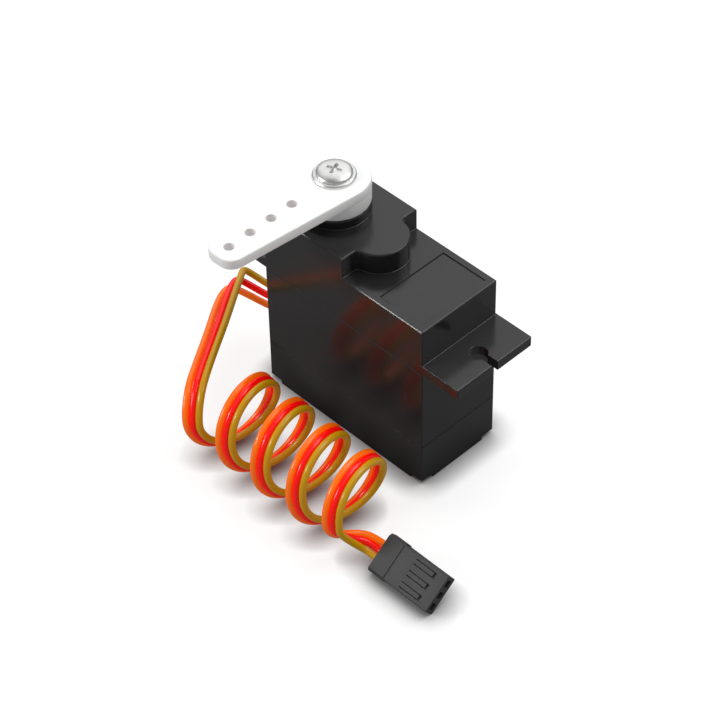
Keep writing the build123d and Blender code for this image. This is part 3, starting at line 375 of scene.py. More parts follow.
@dataclass(frozen=True)
class Finish:
    """One finish of the object, with the sizes of its details in millimetres.

    Seams are the heights of the two joints of the case, where a painted shade line darkens the
    seams. Panel shade is the outline of the recess in the lower deck, with a painted shade line on
    its
    two far sides: its first and last X, its outer Y and its lowest Z.
    """

    name: str
    colour: Colour
    roughness: float
    metallic: float = 0.0
    specular: float = 0.5
    coat: float = 0.0
    coat_roughness: float = 0.1
    subsurface: float = 0.0
    drift: float = 0.12
    drift_size: float = 4.0
    marks: float = 0.08
    marks_size: float = 3.0
    grain_size: float = 0.15
    grain_depth: float = 0.002
    ripple: float = 0.4
    # rubbed wear and a painted edge highlight: amount, width and colour of the lighter edge tone
    wear_and_highlight: float = 0.0
    wear_and_highlight_width: float = 0.15
    wear_and_highlight_colour: Colour = (0.3, 0.3, 0.3)
    turned_axis: Pair | None = None
    turned_depth: float = 0.004
    soft_edge: float = 0.0
    painted_glow: float = 0.0
    seams: Pair | None = None
    panel: tuple[float, float, float, float] | None = None

    def material(self, effects: SharedEffects) -> bpy.types.Material:
        """Builds the finish as a material.

        Args:
            effects: the shared shader groups.

        Returns:
            The material.
        """
        material = bpy.data.materials.new(self.name)
        material.use_nodes = True
        g = Graph(material.node_tree)
        shader = g.add("BsdfPrincipled", Metallic=self.metallic, Coat_Weight=self.coat,
                       Coat_Roughness=self.coat_roughness, Specular_IOR_Level=self.specular)
        if self.subsurface:
            g.feed(shader.inputs["Subsurface Weight"], self.subsurface)
            g.feed(shader.inputs["Subsurface Scale"], SUBSURFACE_REACH * MM)
        g.add("OutputMaterial", Surface=shader.outputs[0])
        tone, rough = self._surface(g, effects)
        g.feed(shader.inputs["Base Color"], tone)
        # painted glow: the finish's own colour as emission, though the part is no lamp
        if self.painted_glow:
            g.feed(shader.inputs["Emission Color"], tone)
            g.feed(shader.inputs["Emission Strength"], self.painted_glow)
        g.feed(shader.inputs["Roughness"], rough)
        g.feed(shader.inputs["Normal"], self._relief(g, effects))
        return material

    def _surface(self, g: Graph, effects: SharedEffects) -> tuple[Socket, Socket]:
        """Adds the nodes of the colour and the roughness.

        Args:
            g: the material's graph.
            effects: the shared shader groups.

        Returns:
            The sockets of the colour and the roughness.
        """
        tone = g.group(effects.drift, {"Color": (*self.colour, 1.0), "Amount": self.drift,
                                       "Size mm": self.drift_size}).outputs[0]
        rough = g.group(effects.handling, {"Roughness": self.roughness, "Amount": self.marks,
                                           "Size mm": self.marks_size}).outputs[0]
        # lighter tone on outer edges: rubbed wear and a painted edge highlight
        if self.wear_and_highlight:
            edge = g.group(effects.wear_and_highlight, {"Width mm": self.wear_and_highlight_width, "Amount": self.wear_and_highlight})
            tone = g.mix(edge.outputs[0], tone, self.wear_and_highlight_colour)
        # seam and panel lines: painted shade darkens the colour towards near black
        lines = ((effects.seam, ("Low mm", "High mm"), self.seams),
                 (effects.panel, ("Start X mm", "End X mm", "Side Y mm", "Lowest mm"), self.panel))
        for tree, names, values in lines:
            if values is not None:
                line = g.group(tree, {"Roughness": rough, **dict(zip(names, values))})
                rough = line.outputs["Roughness"]
                tone = g.mix(line.outputs["Mask"], tone, PAINTED_SHADE_COLOUR)
        return tone, rough

    def _relief(self, g: Graph, effects: SharedEffects) -> Socket:
        """Adds the nodes of the grain, the soft edges and the turning lines.

        Args:
            g: the material's graph.
            effects: the shared shader groups.

        Returns:
            The normal's socket.
        """
        grain = g.group(effects.grain, {"Size mm": self.grain_size, "Ripple": self.ripple})
        bump = g.add("Bump", Height=grain.outputs[0], Strength=1.0, Distance=self.grain_depth * MM)
        if self.soft_edge:
            edge_turn = g.add("Bevel", set_samples=6, Radius=self.soft_edge * MM)
            g.feed(bump.inputs["Normal"], edge_turn.outputs[0])
        if self.turned_axis is not None:
            axis_x, axis_y = self.turned_axis
            lines = g.group(effects.turned, {"Axis X mm": axis_x, "Axis Y mm": axis_y})
            bump = g.add("Bump", Height=lines.outputs[0], Normal=bump.outputs[0], Strength=1.0,
                         Distance=self.turned_depth * MM)
        return bump.outputs[0]


# outline of the deck's recess that carries the painted shade line
PANEL_SHADE_LINE = (5.3, 11.85, 5.05, 24.3)
OUTPUT_AXIS = (-6.95, 0.0)
MIDDLE_AXIS = (-1.25, 0.0)
MOTOR_AXIS = (4.0, 0.0)

# the case's edges get rubbed wear and a painted edge highlight
CASE_BLACK = Finish("black moulded case", (0.016, 0.016, 0.0163), 0.18, specular=0.5, drift=0.25,
                    marks=0.05, marks_size=5.0, grain_size=0.1, grain_depth=0.0005, ripple=2.0,
                    wear_and_highlight=0.45, wear_and_highlight_width=0.1, wear_and_highlight_colour=(0.16, 0.16, 0.16), soft_edge=0.16,
                    seams=(6.2, 18.0), panel=PANEL_SHADE_LINE)
HORN_WHITE = Finish("white moulded horn", (0.88, 0.88, 0.875), 0.42, specular=0.35,
                    subsurface=0.1, drift=0.02, marks=0.08, grain_size=0.1, grain_depth=0.0008,
                    soft_edge=0.1)
SCREW_STEEL = Finish("zinc-plated screw", (0.76, 0.76, 0.75), 0.36, metallic=1.0, drift=0.2,
                     drift_size=0.8, marks=0.25, marks_size=0.7, grain_size=0.2, grain_depth=0.01,
                     turned_axis=OUTPUT_AXIS, turned_depth=0.003)
CASE_SCREW_STEEL = Finish("case screw steel", (0.5, 0.5, 0.49), 0.3, metallic=1.0, drift=0.2,
                          drift_size=0.5, marks=0.2, marks_size=0.5, grain_size=0.1,
                          grain_depth=0.006)
SHAFT_STEEL = Finish("ground steel", (0.55, 0.55, 0.56), 0.2, metallic=1.0, marks=0.1,
                     marks_size=0.6, turned_axis=MIDDLE_AXIS, turned_depth=0.002)
BUSH_BRASS = Finish("turned brass", (0.72, 0.52, 0.22), 0.22, metallic=1.0, drift=0.15,
                    drift_size=1.2, marks=0.12, marks_size=0.8, turned_axis=OUTPUT_AXIS)
GEAR_NYLON = Finish("natural nylon", (0.82, 0.8, 0.72), 0.38, subsurface=0.25, drift=0.05,
                    marks=0.1, grain_size=0.12, grain_depth=0.0015, soft_edge=0.05)
POT_BLUE = Finish("blue potentiometer shell", (0.03, 0.12, 0.32), 0.45, drift=0.15,
                  grain_depth=0.004)
TRACK_BROWN = Finish("brown track laminate", (0.2, 0.09, 0.035), 0.5, drift=0.3, drift_size=0.8)
SPRING_METAL = Finish("tinned spring brass", (0.74, 0.62, 0.38), 0.25, metallic=1.0, drift=0.15,
                      drift_size=0.6, marks=0.15, marks_size=0.5)
MOTOR_STEEL = Finish("drawn motor can", (0.58, 0.58, 0.59), 0.28, metallic=1.0, marks=0.15,
                     marks_size=1.5, turned_axis=MOTOR_AXIS, turned_depth=0.003)
MOTOR_CAP = Finish("dark end cap", (0.03, 0.03, 0.03), 0.5, grain_depth=0.004)
CHIP_BLACK = Finish("moulded chip", (0.018, 0.018, 0.018), 0.55, grain_size=0.06, grain_depth=0.004)
CAPACITOR_CAN = Finish("capacitor can", (0.7, 0.7, 0.72), 0.25, metallic=1.0, marks=0.1)
GROMMET_RUBBER = Finish("black rubber", (0.012, 0.012, 0.012), 0.55, specular=0.35,
                        grain_depth=0.004)
# the plug's edges get rubbed wear and a painted edge highlight
PLUG_BLACK = Finish("dark grey plug", (0.05, 0.05, 0.0507), 0.5, specular=0.3, drift=0.15,
                    marks=0.1, grain_size=0.07, grain_depth=0.002, wear_and_highlight=0.3, wear_and_highlight_width=0.08,
                    wear_and_highlight_colour=(0.12, 0.12, 0.12), soft_edge=0.05)
BOARD_GREEN = Finish("green circuit board", (0.01, 0.13, 0.05), 0.3, coat=0.4, drift=0.2,
                     drift_size=1.0, grain_depth=0.006)

NODE_FINISHES: dict[Finish, tuple[str, ...]] = {
    CASE_BLACK: ("gear_case", "middle_case", "bottom_cover"),
    SHAFT_STEEL: ("middle_pin", "motor_shaft", "potentiometer_shaft"),
    BUSH_BRASS: ("output_bush", "motor_pinion"),
    GEAR_NYLON: ("first_gear", "second_gear", "third_gear", "output_gear"),
    POT_BLUE: ("potentiometer_housing",),
    TRACK_BROWN: ("potentiometer_base",),
    SPRING_METAL: ("potentiometer_legs", "potentiometer_wiper", "motor_tabs", "plug_contacts"),
    MOTOR_STEEL: ("motor_can",),
    MOTOR_CAP: ("motor_end_cap",),
    CHIP_BLACK: ("control_chip", "driver_chips"),
    CAPACITOR_CAN: ("smoothing_capacitor",),
    GROMMET_RUBBER: ("cable_grommet",),
    PLUG_BLACK: ("plug_housing",),
    BOARD_GREEN: ("circuit_board", "board_leads"),
}


def paint(piece: Piece, material: bpy.types.Material) -> None:
    """Gives a piece one material in all its slots."""
    if not piece.material_slots:
        piece.data.materials.append(material)
    for slot in piece.material_slots:
        slot.material = material


@dataclass
class ServoFrame:
    """The carried-over CAD nodes and their finishes."""

    nodes: dict[str, Piece]

    def dress(self, effects: SharedEffects) -> None:
        """Paints every CAD node with its finish.

        Args:
            effects: the shared shader groups.
        """
        for finish, names in NODE_FINISHES.items():
            material = finish.material(effects)
            for name in names:
                paint(self.nodes[name], material)
            log.info("finish %s on %s", finish.name, ", ".join(names))


def clear_selection() -> None:
    """Leaves edit mode and selects nothing."""
    if bpy.context.object is not None and bpy.context.object.mode != "OBJECT":
        bpy.ops.object.mode_set(mode="OBJECT")
    bpy.ops.object.select_all(action="DESELECT")


def pick(piece: Piece) -> None:
    """Selects one piece alone and makes it the active one."""
    clear_selection()
    piece.select_set(True)
    bpy.context.view_layer.objects.active = piece


def settle() -> None:
    """Applies the selected piece's move, turn and size to its mesh."""
    bpy.ops.object.transform_apply(location=True, rotation=True, scale=True)


def combine(piece: Piece, other: Piece, operation: str) -> None:
    """Cuts one closed piece out of another or joins the two, and removes the second.

    Args:
        piece: the piece that stays.
        other: the piece that is used up.
        operation: DIFFERENCE or UNION.
    """
    pick(piece)
    step = piece.modifiers.new("combine", "BOOLEAN")
    step.operation, step.solver, step.object = operation, "EXACT", other
    bpy.ops.object.modifier_apply(modifier=step.name)
    bpy.data.objects.remove(other, do_unlink=True)


def round_edges(piece: Piece, width: float, segments: int, angle: float) -> None:
    """Rounds a piece's sharp edges.

    Args:
        piece: the piece.
        width: the rounding's width, in millimetres.
        segments: its number of steps.
        angle: the turn between two faces, in degrees, from which an edge is sharp.
    """
    pick(piece)
    rounding = piece.modifiers.new("rounding", "BEVEL")
    rounding.width, rounding.segments = width * MM, segments
    rounding.limit_method, rounding.angle_limit = "ANGLE", math.radians(angle)
    bpy.ops.object.modifier_apply(modifier=rounding.name)


def smooth(piece: Piece, angle: float) -> None:
    """Shades a piece smoothly over edges that turn by less than an angle in degrees."""
    pick(piece)
    bpy.ops.object.shade_smooth_by_angle(angle=math.radians(angle))


def stand(piece: Piece, place: Point, upside_down: bool = False) -> None:
    """Moves a modelled piece to its place and applies the move.

    Args:
        piece: the piece, modelled at the origin.
        place: where its origin goes, in millimetres.
        upside_down: whether it is turned over first.
    """
    pick(piece)
    piece.location = Vector(place) * MM
    piece.rotation_euler = (math.pi if upside_down else 0.0, 0.0, 0.0)
    settle()


def add_cylinder(place: Pair, levels: Pair, radius: float, facets: int) -> Piece:
    """Adds an upright cylinder as a piece of its own.

    Args:
        place: its axis, in millimetres.
        levels: its lowest and highest points, in millimetres.
        radius: its radius, in millimetres.
        facets: its number of sides.

    Returns:
        The mesh object.
    """
    clear_selection()
    low, high = levels
    bpy.ops.mesh.primitive_cylinder_add(
        vertices=facets, radius=radius * MM, depth=(high - low) * MM,
        location=(place[0] * MM, place[1] * MM, (low + high) / 2 * MM))
    settle()
    return bpy.context.object


@dataclass
class CrossScrew:
    """A turned screw with a flange, a domed head and a cross recess, in millimetres."""

    shank_radius: float
    shank_length: float
    flange_radius: float
    flange_height: float
    head_radius: float
    head_height: float
    recess_length: float
    recess_width: float
    recess_depth: float
    recess_turn: float = 20.0
    edge: float = 0.05
    facets: int = 64
    point_radius_share: float = 0.55
    point_length_share: float = 0.5
    flange_wall_share: float = 0.6
    flange_slope_share: float = 0.4
    head_foot_share: float = 1.001
    dome_foot_share: float = 0.2
    dome_power: float = 0.85
    dome_leans: tuple[int, ...] = (0, 12, 24, 36, 48, 60, 71, 80)
    recess_taper: Point = (0.55, 0.75, 1.0)

    def profile(self) -> list[Pair]:
        """Radius and height of each step, from the shank's end to the dome's top."""
        top = self.flange_height + self.head_height
        point = self.shank_radius * self.point_length_share
        slope = self.flange_height * self.flange_slope_share
        steps = [(self.shank_radius * self.point_radius_share, -self.shank_length),
                 (self.shank_radius, -self.shank_length + point),
                 (self.shank_radius, 0.0), (self.flange_radius, 0.0),
                 (self.flange_radius, self.flange_height * self.flange_wall_share),
                 (self.flange_radius - slope, self.flange_height),
                 (self.head_radius, self.flange_height * self.head_foot_share)]
        foot = self.flange_height + self.head_height * self.dome_foot_share
        for lean in map(math.radians, self.dome_leans):
            steps.append((self.head_radius * math.cos(lean) ** self.dome_power,
                          foot + (top - foot) * math.sin(lean)))
        return steps

    def model(self, name: str) -> Piece:
        """Models the screw upright at the origin, its flange standing on height zero.

        Args:
            name: the piece's name.

        Returns:
            The mesh object.
        """
        clear_selection()
        steps = self.profile()
        radius, height = steps[0]
        bpy.ops.mesh.primitive_circle_add(vertices=self.facets, radius=radius * MM,
                                          fill_type="NGON", location=(0, 0, height * MM))
        piece = bpy.context.object
        piece.name = name
        settle()
        bpy.ops.object.mode_set(mode="EDIT")
        bpy.ops.mesh.select_all(action="SELECT")
        for (old, low), (new, high) in zip(steps, steps[1:]):
            bpy.ops.mesh.extrude_region_move(
                TRANSFORM_OT_translate={"value": (0, 0, (high - low) * MM)})
            bpy.ops.transform.resize(value=(new / old, new / old, 1.0),
                                     center_override=(0, 0, high * MM))
        bpy.ops.mesh.select_all(action="SELECT")
        bpy.ops.mesh.normals_make_consistent(inside=False)
        bpy.ops.object.mode_set(mode="OBJECT")
        for turn in (0.0, 90.0):
            combine(piece, self._recess_arm(turn + self.recess_turn), "DIFFERENCE")
        round_edges(piece, self.edge, segments=2, angle=40)
        smooth(piece, angle=35)
        return piece

    def _recess_arm(self, turn: float) -> Piece:
        """One tapered arm of the cross recess, turned by an angle in degrees."""
        clear_selection()
        top = (self.flange_height + self.head_height) * MM
        bpy.ops.mesh.primitive_cube_add(size=1.0, location=(0, 0, top))
        arm = bpy.context.object
        arm.scale = (self.recess_length * MM, self.recess_width * MM, 2 * self.recess_depth * MM)
        settle()
        bpy.ops.object.mode_set(mode="EDIT")
        bpy.ops.mesh.select_all(action="DESELECT")
        mesh = bmesh.from_edit_mesh(arm.data)
        downward = -0.9
        for face in mesh.faces:
            face.select = face.normal.z < downward
        bmesh.update_edit_mesh(arm.data)
        bpy.ops.transform.resize(value=self.recess_taper, center_override=(0, 0, 0))
        bpy.ops.object.mode_set(mode="OBJECT")
        arm.rotation_euler = (0, 0, math.radians(turn))
        settle()
        return arm


@dataclass
class Horn:
    """The single-arm horn at its rest turn on the spline, in millimetres."""

    axis: Pair = OUTPUT_AXIS
    top: float = 31.95
    arm_thickness: float = 1.4
    hub_bottom: float = 28.66
    hub_radius: float = 4.25
    hub_inset: float = 0.03
    hub_facets: int = 128
    reach: float = 18.4
    tip_round: float = 1.8
    tip_spread: float = 0.55
    tip_facets: int = 64
    rest_turn: float = 1.06
    first_hole: float = 6.75
    hole_pitch: float = 3.233
    hole_count: int = 4
    hole_radius: float = 0.63
    hole_facets: int = 40
    socket_top: float = 31.05
    socket_radius: float = 2.36
    socket_facets: int = 63
    screw_hole_radius: float = 1.08
    drill_overrun: float = 1.0
    edge: float = 0.16
    flat_angle: float = 0.5

    def along(self, distance: float, aside: float = 0.0) -> Pair:
        """A place on the arm, by its distance from the axis and to the side."""
        turn = math.radians(self.rest_turn)
        return (self.axis[0] + distance * math.sin(turn) + aside * math.cos(turn),
                self.axis[1] - distance * math.cos(turn) + aside * math.sin(turn))

    def build(self, effects: SharedEffects) -> None:
        """Args:
            effects: the shared shader groups.
        """
        horn = self._arm()
        self._add_hub(horn)
        below = self.hub_bottom - self.drill_overrun
        through = (below, self.top + self.drill_overrun)
        drills = [(self.along(self.first_hole + index * self.hole_pitch), through,
                   self.hole_radius, self.hole_facets) for index in range(self.hole_count)]
        drills += [(self.axis, (below, self.socket_top), self.socket_radius, self.socket_facets),
                   (self.axis, through, self.screw_hole_radius, self.hole_facets)]
        for drill in drills:
            combine(horn, add_cylinder(*drill), "DIFFERENCE")
        smooth(horn, angle=32)
        paint(horn, HORN_WHITE.material(effects))
        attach(horn, Body.OUTPUT.value)
        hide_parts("horn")
        log.info("piece %s for horn", horn.name)

    def _arm(self) -> Piece:
        """The flat arm: a hull round the hub's disc and the two corners of the tip."""
        clear_selection()
        middle = (self.top - self.arm_thickness / 2) * MM
        discs = [(self.axis, self.hub_radius, self.hub_facets)]
        discs += [(self.along(self.reach - self.tip_round, side * self.tip_spread),
                   self.tip_round, self.tip_facets) for side in (-1, 1)]
        for number, (place, radius, facets) in enumerate(discs):
            bpy.ops.mesh.primitive_cylinder_add(
                vertices=facets, radius=radius * MM, depth=self.arm_thickness * MM,
                location=(place[0] * MM, place[1] * MM, middle))
            if not number:
                arm = bpy.context.object
                arm.name = "horn_detail"
                settle()
                bpy.ops.object.mode_set(mode="EDIT")
        bpy.ops.mesh.select_all(action="SELECT")
        bpy.ops.mesh.convex_hull()
        bpy.ops.mesh.select_all(action="SELECT")
        bpy.ops.mesh.dissolve_limited(angle_limit=math.radians(self.flat_angle))
        bpy.ops.mesh.normals_make_consistent(inside=False)
        bpy.ops.object.mode_set(mode="OBJECT")
        round_edges(arm, self.edge, segments=3, angle=60)
        return arm

    def _add_hub(self, arm: Piece) -> None:
        """Adds the hub under the arm as one body with it."""
        high = self.top - self.arm_thickness / 2
        hub = add_cylinder(self.axis, (self.hub_bottom, high), self.hub_radius - self.hub_inset,
                           self.hub_facets)
        round_edges(hub, self.edge, segments=3, angle=60)
        combine(arm, hub, "UNION")


@dataclass
class Fasteners:
    """The horn's screw and the four case screws, at the sizes of their CAD nodes."""

    horn_place: Point = (*OUTPUT_AXIS, 31.95)
    case_x: float = 11.7
    case_y: float = 4.95
    case_seat_z: float = 0.6
    horn_screw: CrossScrew = field(default_factory=lambda: CrossScrew(
        shank_radius=1.0, shank_length=4.4, flange_radius=2.55, flange_height=0.35,
        head_radius=2.15, head_height=0.68, recess_length=2.5, recess_width=0.5,
        recess_depth=0.5, edge=0.06, facets=96))
    case_screw: CrossScrew = field(default_factory=lambda: CrossScrew(
        shank_radius=0.55, shank_length=22.0, flange_radius=0.84, flange_height=0.1,
        head_radius=0.82, head_height=0.38, recess_length=0.9, recess_width=0.22,
        recess_depth=0.25, edge=0.02, facets=40))

    def build(self, effects: SharedEffects) -> None:
        """Args:
            effects: the shared shader groups.
        """
        horn_screw = self.horn_screw.model("horn_screw_detail")
        stand(horn_screw, self.horn_place)
        self._declare(horn_screw, SCREW_STEEL, Body.OUTPUT, "horn_screw", effects)
        corner_sides = [(side_x, side_y) for side_x in (-1, 1) for side_y in (-1, 1)]
        screws = [self.case_screw.model("case_screw_detail")]
        for _ in corner_sides[1:]:
            screw = screws[0].copy()
            screw.data = screws[0].data.copy()
            bpy.context.scene.collection.objects.link(screw)
            screws.append(screw)
        for screw, (side_x, side_y) in zip(screws, corner_sides):
            stand(screw, (side_x * self.case_x, side_y * self.case_y, self.case_seat_z), True)
        clear_selection()
        for screw in screws:
            screw.select_set(True)
        bpy.context.view_layer.objects.active = screws[0]
        bpy.ops.object.join()
        self._declare(screws[0], CASE_SCREW_STEEL, Body.CASE, "case_screws", effects)

    def _declare(self, piece: Piece, finish: Finish, body: Body, node: str,
                 effects: SharedEffects) -> None:
        """Paints a screw piece, ties it to its body and hides its CAD node."""
        paint(piece, finish.material(effects))
        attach(piece, body.value)
        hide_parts(node)
        log.info("piece %s for %s", piece.name, node)


@dataclass
class Lead:
    """The three-wire lead: drop from the case, coil and tail, in millimetres."""

    diameter: float = 0.86
    coil_y: float = -16.7
    coil_z: float = 6.2
    coil_radius: float = 5.2
    coil_start_x: float = -7.62
    coil_pitch: float = 5.84
    ribbon_pitch: float = 0.86
    ribbon_lean: float = 0.34
    ribbon_swing: float = 0.36
    swing_start: float = 0.2
    first_turn: float = -0.25
    last_turn: float = 3.75
    points_per_turn: int = 14
    exit_x: float = -13.5
    exit_z: float = 6.2
    exit_pitch: float = 1.3
    inside_grommet: float = 0.6
    smoothness: int = 6
    drops: dict[WireColour, list[Point]] = field(default_factory=lambda: {
        WireColour.ORANGE: [(-15.6, -1.45, 6.1), (-17.8, -2.0, 6.05), (-19.8, -3.0, 7.0),
                            (-21.6, -4.0, 7.7), (-21.4, -5.4, 7.9), (-19.9, -7.9, 8.35),
                            (-17.0, -12.0, 8.45), (-14.0, -16.5, 8.7), (-11.7, -19.9, 8.8)],
        WireColour.RED: [(-15.6, -0.1, 6.15), (-18.2, -1.0, 6.4), (-20.4, -2.2, 7.7),
                         (-21.4, -3.0, 8.5), (-20.9, -4.4, 8.8), (-19.3, -6.8, 9.15),
                         (-16.4, -11.0, 9.05), (-13.2, -15.8, 9.2), (-10.9, -19.4, 9.1)],
        WireColour.OLIVE: [(-15.6, 1.2, 6.3), (-19.1, 0.0, 6.9), (-21.0, -1.2, 8.5),
                           (-21.4, -2.0, 9.4), (-20.4, -3.3, 9.8), (-18.8, -5.6, 9.95),
                           (-15.7, -10.2, 9.85), (-12.5, -15.3, 9.8), (-9.75, -19.5, 9.4)],
    })
    tails: dict[WireColour, list[Point]] = field(default_factory=lambda: {
        WireColour.ORANGE: [(13.6, -21.0, 4.0), (14.0, -19.0, 3.1), (15.2, -17.5, 2.7),
                            (16.8, -17.13, 2.64), (18.3, -17.13, 2.64)],
        WireColour.RED: [(14.2, -20.8, 4.5), (14.7, -19.4, 3.1), (15.6, -18.1, 2.35),
                         (16.8, -17.82, 2.11), (18.3, -17.82, 2.11)],
        WireColour.OLIVE: [(15.0, -21.1, 5.2), (15.3, -20.1, 3.6), (15.9, -18.95, 2.1),
                           (16.8, -18.51, 1.58), (18.3, -18.51, 1.58)],
    })
    real_lengths: dict[WireColour, float] = field(default_factory=lambda: {
        WireColour.ORANGE: 177.7, WireColour.RED: 170.8, WireColour.OLIVE: 165.4})
    insulation: dict[WireColour, Colour] = field(default_factory=lambda: {
        WireColour.ORANGE: (1.0, 0.16, 0.0), WireColour.RED: (1.0, 0.002, 0.001),
        WireColour.OLIVE: (0.52, 0.27, 0.001)})

    def coil_points(self, wire: WireColour) -> list[Point]:
        """The turns of one wire, with the ribbon's changing tilt.

        Args:
            wire: the wire.

        Returns:
            Points along the turns, in millimetres.
        """
        points = []
        count = round((self.last_turn - self.first_turn) * self.points_per_turn)
        for step in range(count + 1):
            turn = self.first_turn + step / self.points_per_turn
            angle = 2 * math.pi * turn
            tilt = self.ribbon_lean + self.ribbon_swing * math.cos(angle + self.swing_start)
            offset = wire.value * self.ribbon_pitch
            radius = self.coil_radius - offset * math.sin(tilt)
            x = self.coil_start_x + self.coil_pitch * turn + offset * math.cos(tilt)
            points.append((x, self.coil_y + radius * math.sin(angle),
                           self.coil_z - radius * math.cos(angle)))
        return points

    def route(self, wire: WireColour) -> list[Point]:
        """All control points of one wire, from the grommet to the plug."""
        start = (self.exit_x + self.inside_grommet, wire.value * self.exit_pitch, self.exit_z)
        return [start, *self.drops[wire], *self.coil_points(wire), *self.tails[wire]]

    def _curve(self, name: str, points: list[Point]) -> Piece:
        """Makes a round, smooth curve.

        Args:
            name: the piece's name.
            points: its control points, in metres.

        Returns:
            The curve object.
        """
        curve = bpy.data.curves.new(name, "CURVE")
        curve.dimensions = "3D"
        curve.resolution_u = curve.bevel_resolution = self.smoothness
        curve.bevel_depth = self.diameter / 2 * MM
        curve.use_fill_caps = True
        spline = curve.splines.new("NURBS")
        spline.points.add(len(points) - 1)
        for target, point in zip(spline.points, points):
            target.co = (*point, 1.0)
        spline.order_u = 3
        spline.use_endpoint_u = True
        piece = bpy.data.objects.new(name, curve)
        bpy.context.scene.collection.objects.link(piece)
        return piece

    def _finish(self, wire: WireColour) -> Finish:
        """The finish of one wire's insulation, with a painted glow in its own colour."""
        return Finish(f"{wire.label} insulation", self.insulation[wire], 0.22, specular=0.5,
                      painted_glow=0.12, drift=0.03, drift_size=6.0, marks=0.05, marks_size=2.0,
                      grain_size=0.25, grain_depth=0.001, ripple=1.0)

    def build(self, effects: SharedEffects, on_it: list[Piece]) -> None:
        """Args:
            effects: the shared shader groups.
            on_it: the pieces on the lead's far end; not used.
        """
        for wire in WireColour:
            name = f"wire_{wire.label}"
            points = metres(self.route(wire))
            piece = self._curve(name, points)
            paint(piece, self._finish(wire).material(effects))
            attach(piece, Body.CASE.value)
            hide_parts(f"{name}_drop", f"{name}_tail",
                        *(["lead_coil"] if wire is WireColour.RED else []))
            log.info("wire %s with %d control points", wire.label, len(points))


@dataclass
class SoftBox:
    """One white area light, aimed at a point, in millimetres, with its radiance.

    Glossy surfaces show it when it is mirrored.
    """

    name: str
    place: Point
    aim: Point
    size: Pair
    radiance: float
    mirrored: bool = True

    def build(self) -> None:
        """Adds the light to the scene."""
        light = bpy.data.lights.new(self.name, "AREA")
        light.shape = "RECTANGLE"
        light.size, light.size_y = self.size[0] * MM, self.size[1] * MM
        light.energy = self.radiance * math.pi * light.size * light.size_y
        lamp = bpy.data.objects.new(self.name, light)
        lamp.location = Vector(self.place) * MM
        lamp.visible_glossy = self.mirrored
        back = (Vector(self.place) - Vector(self.aim)).normalized()
        lamp.rotation_euler = back.to_track_quat("Z", "Y").to_euler()
        bpy.context.scene.collection.objects.link(lamp)


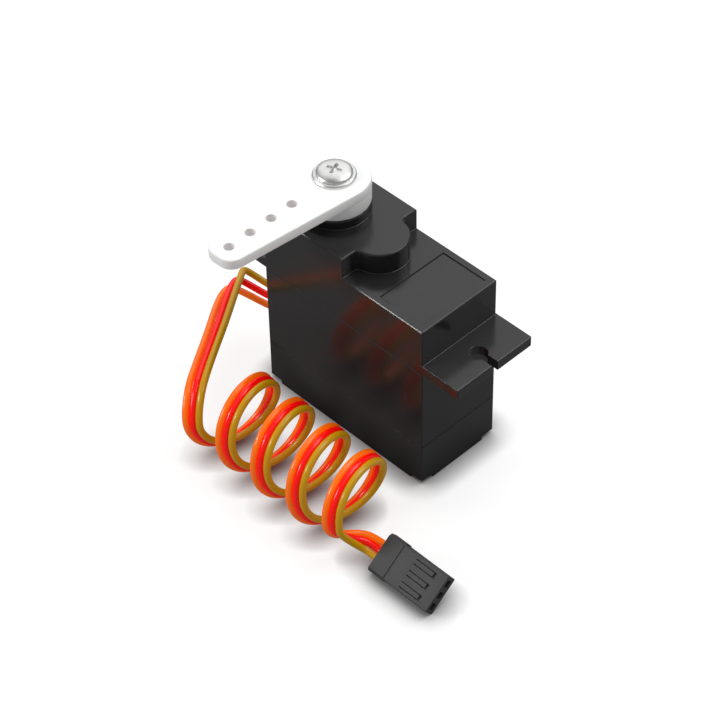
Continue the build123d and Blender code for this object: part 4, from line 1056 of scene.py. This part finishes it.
@dataclass
class Studio:
    """Camera, floor and light of the product photograph."""

    camera_place: Point = (158.223, -155.325, 228.329)
    camera_turn: Point = (45.0988, 0.8729, 45.2742)
    focal_length: float = 132.825
    sensor: float = 36.0
    clip: Pair = (0.01, 20.0)
    floor_size: float = 3000.0
    floor_roughness: float = 0.6
    floor_tone: float = 0.3
    floor_glow: float = 0.74
    floor_bounce: float = 0.35
    floor_mirror_loss: float = 0.62
    painted_shadow_reach: float = 3.4
    painted_shadow_depth: float = 3.0
    world_light: float = 0.27
    soft_boxes: tuple[SoftBox, ...] = (
        SoftBox("back box", (-190, 175, 245), (0, -5, 5), (380, 380), 0.86),
        SoftBox("top right box", (120, 200, 330), (0, -5, 5), (260, 260), 3.0),
        SoftBox("left box", (-198, -262, 196), (0, -5, 8), (125, 66), 21.0),
        SoftBox("ceiling box", (0, 0, 520), (0, 0, 0), (420, 420), 1.6, mirrored=False),
    )

    def build(self) -> None:
        """Sets up camera, floor, world and lamps."""
        scene = bpy.context.scene
        scene.view_settings.view_transform = "Standard"
        self._add_camera(scene)
        self._add_floor()
        self._add_world(scene)
        for box in self.soft_boxes:
            box.build()

    def _add_camera(self, scene: bpy.types.Scene) -> None:
        """Places the camera that was fitted to the photograph."""
        lens = bpy.data.cameras.new("photo camera")
        lens.lens = self.focal_length
        lens.sensor_width = lens.sensor_height = self.sensor
        lens.clip_start, lens.clip_end = self.clip
        camera = bpy.data.objects.new("photo camera", lens)
        camera.location = Vector(self.camera_place) * MM
        camera.rotation_euler = Euler([math.radians(turn) for turn in self.camera_turn], "XYZ")
        scene.collection.objects.link(camera)
        scene.camera = camera

    def _add_floor(self) -> None:
        """Adds the white floor, with a painted contact shadow where something touches it, darker in
        mirrors.
        """
        bpy.ops.mesh.primitive_plane_add(size=self.floor_size * MM, location=(0, 0, 0))
        floor = bpy.context.object
        floor.name = "studio_floor"
        material = bpy.data.materials.new("studio floor")
        material.use_nodes = True
        g = Graph(material.node_tree)
        shader = g.add("BsdfPrincipled", Roughness=self.floor_roughness, Specular_IOR_Level=0.0,
                       Emission_Strength=self.floor_glow)
        # painted contact shadow: ambient occlusion darkens the floor's own glow near whatever
        # touches it
        near = g.add("AmbientOcclusion", set_samples=12, Distance=self.painted_shadow_reach * MM)
        ray = g.add("LightPath")
        loss = g.math("MULTIPLY", ray.outputs["Is Glossy Ray"], self.floor_mirror_loss)
        kept = g.math("SUBTRACT", 1.0, loss)
        seen = g.math("MAXIMUM", ray.outputs["Is Camera Ray"], self.floor_bounce)
        painted_contact_shadow = g.math("POWER", near.outputs["AO"], self.painted_shadow_depth)
        g.feed(shader.inputs["Emission Color"],
               g.math("MULTIPLY", painted_contact_shadow, g.math("MULTIPLY", seen, kept)))
        g.feed(shader.inputs["Base Color"], g.math("MULTIPLY", kept, self.floor_tone))
        g.add("OutputMaterial", Surface=shader.outputs[0])
        paint(floor, material)

    def _add_world(self, scene: bpy.types.Scene) -> None:
        """Lights the scene evenly from all round."""
        world = bpy.data.worlds.new("studio world")
        scene.world = world
        world.use_nodes = True
        sky = world.node_tree.nodes["Background"]
        sky.inputs["Color"].default_value = (1.0, 1.0, 1.0, 1.0)
        sky.inputs["Strength"].default_value = self.world_light


def main() -> None:
    """Builds the studio and dresses the servo, assembly by assembly."""
    logging.basicConfig(level=logging.INFO, format="%(name)s: %(message)s")
    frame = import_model()
    nodes = frame["nodes"]
    Studio().build()
    effects = SharedEffects()
    ServoFrame(nodes).dress(effects)
    Horn().build(effects)
    Fasteners().build(effects)
    Lead().build(effects, [nodes["plug_housing"], nodes["plug_contacts"]])
    log.info("scene built")


if __name__ == "__main__":
    main()
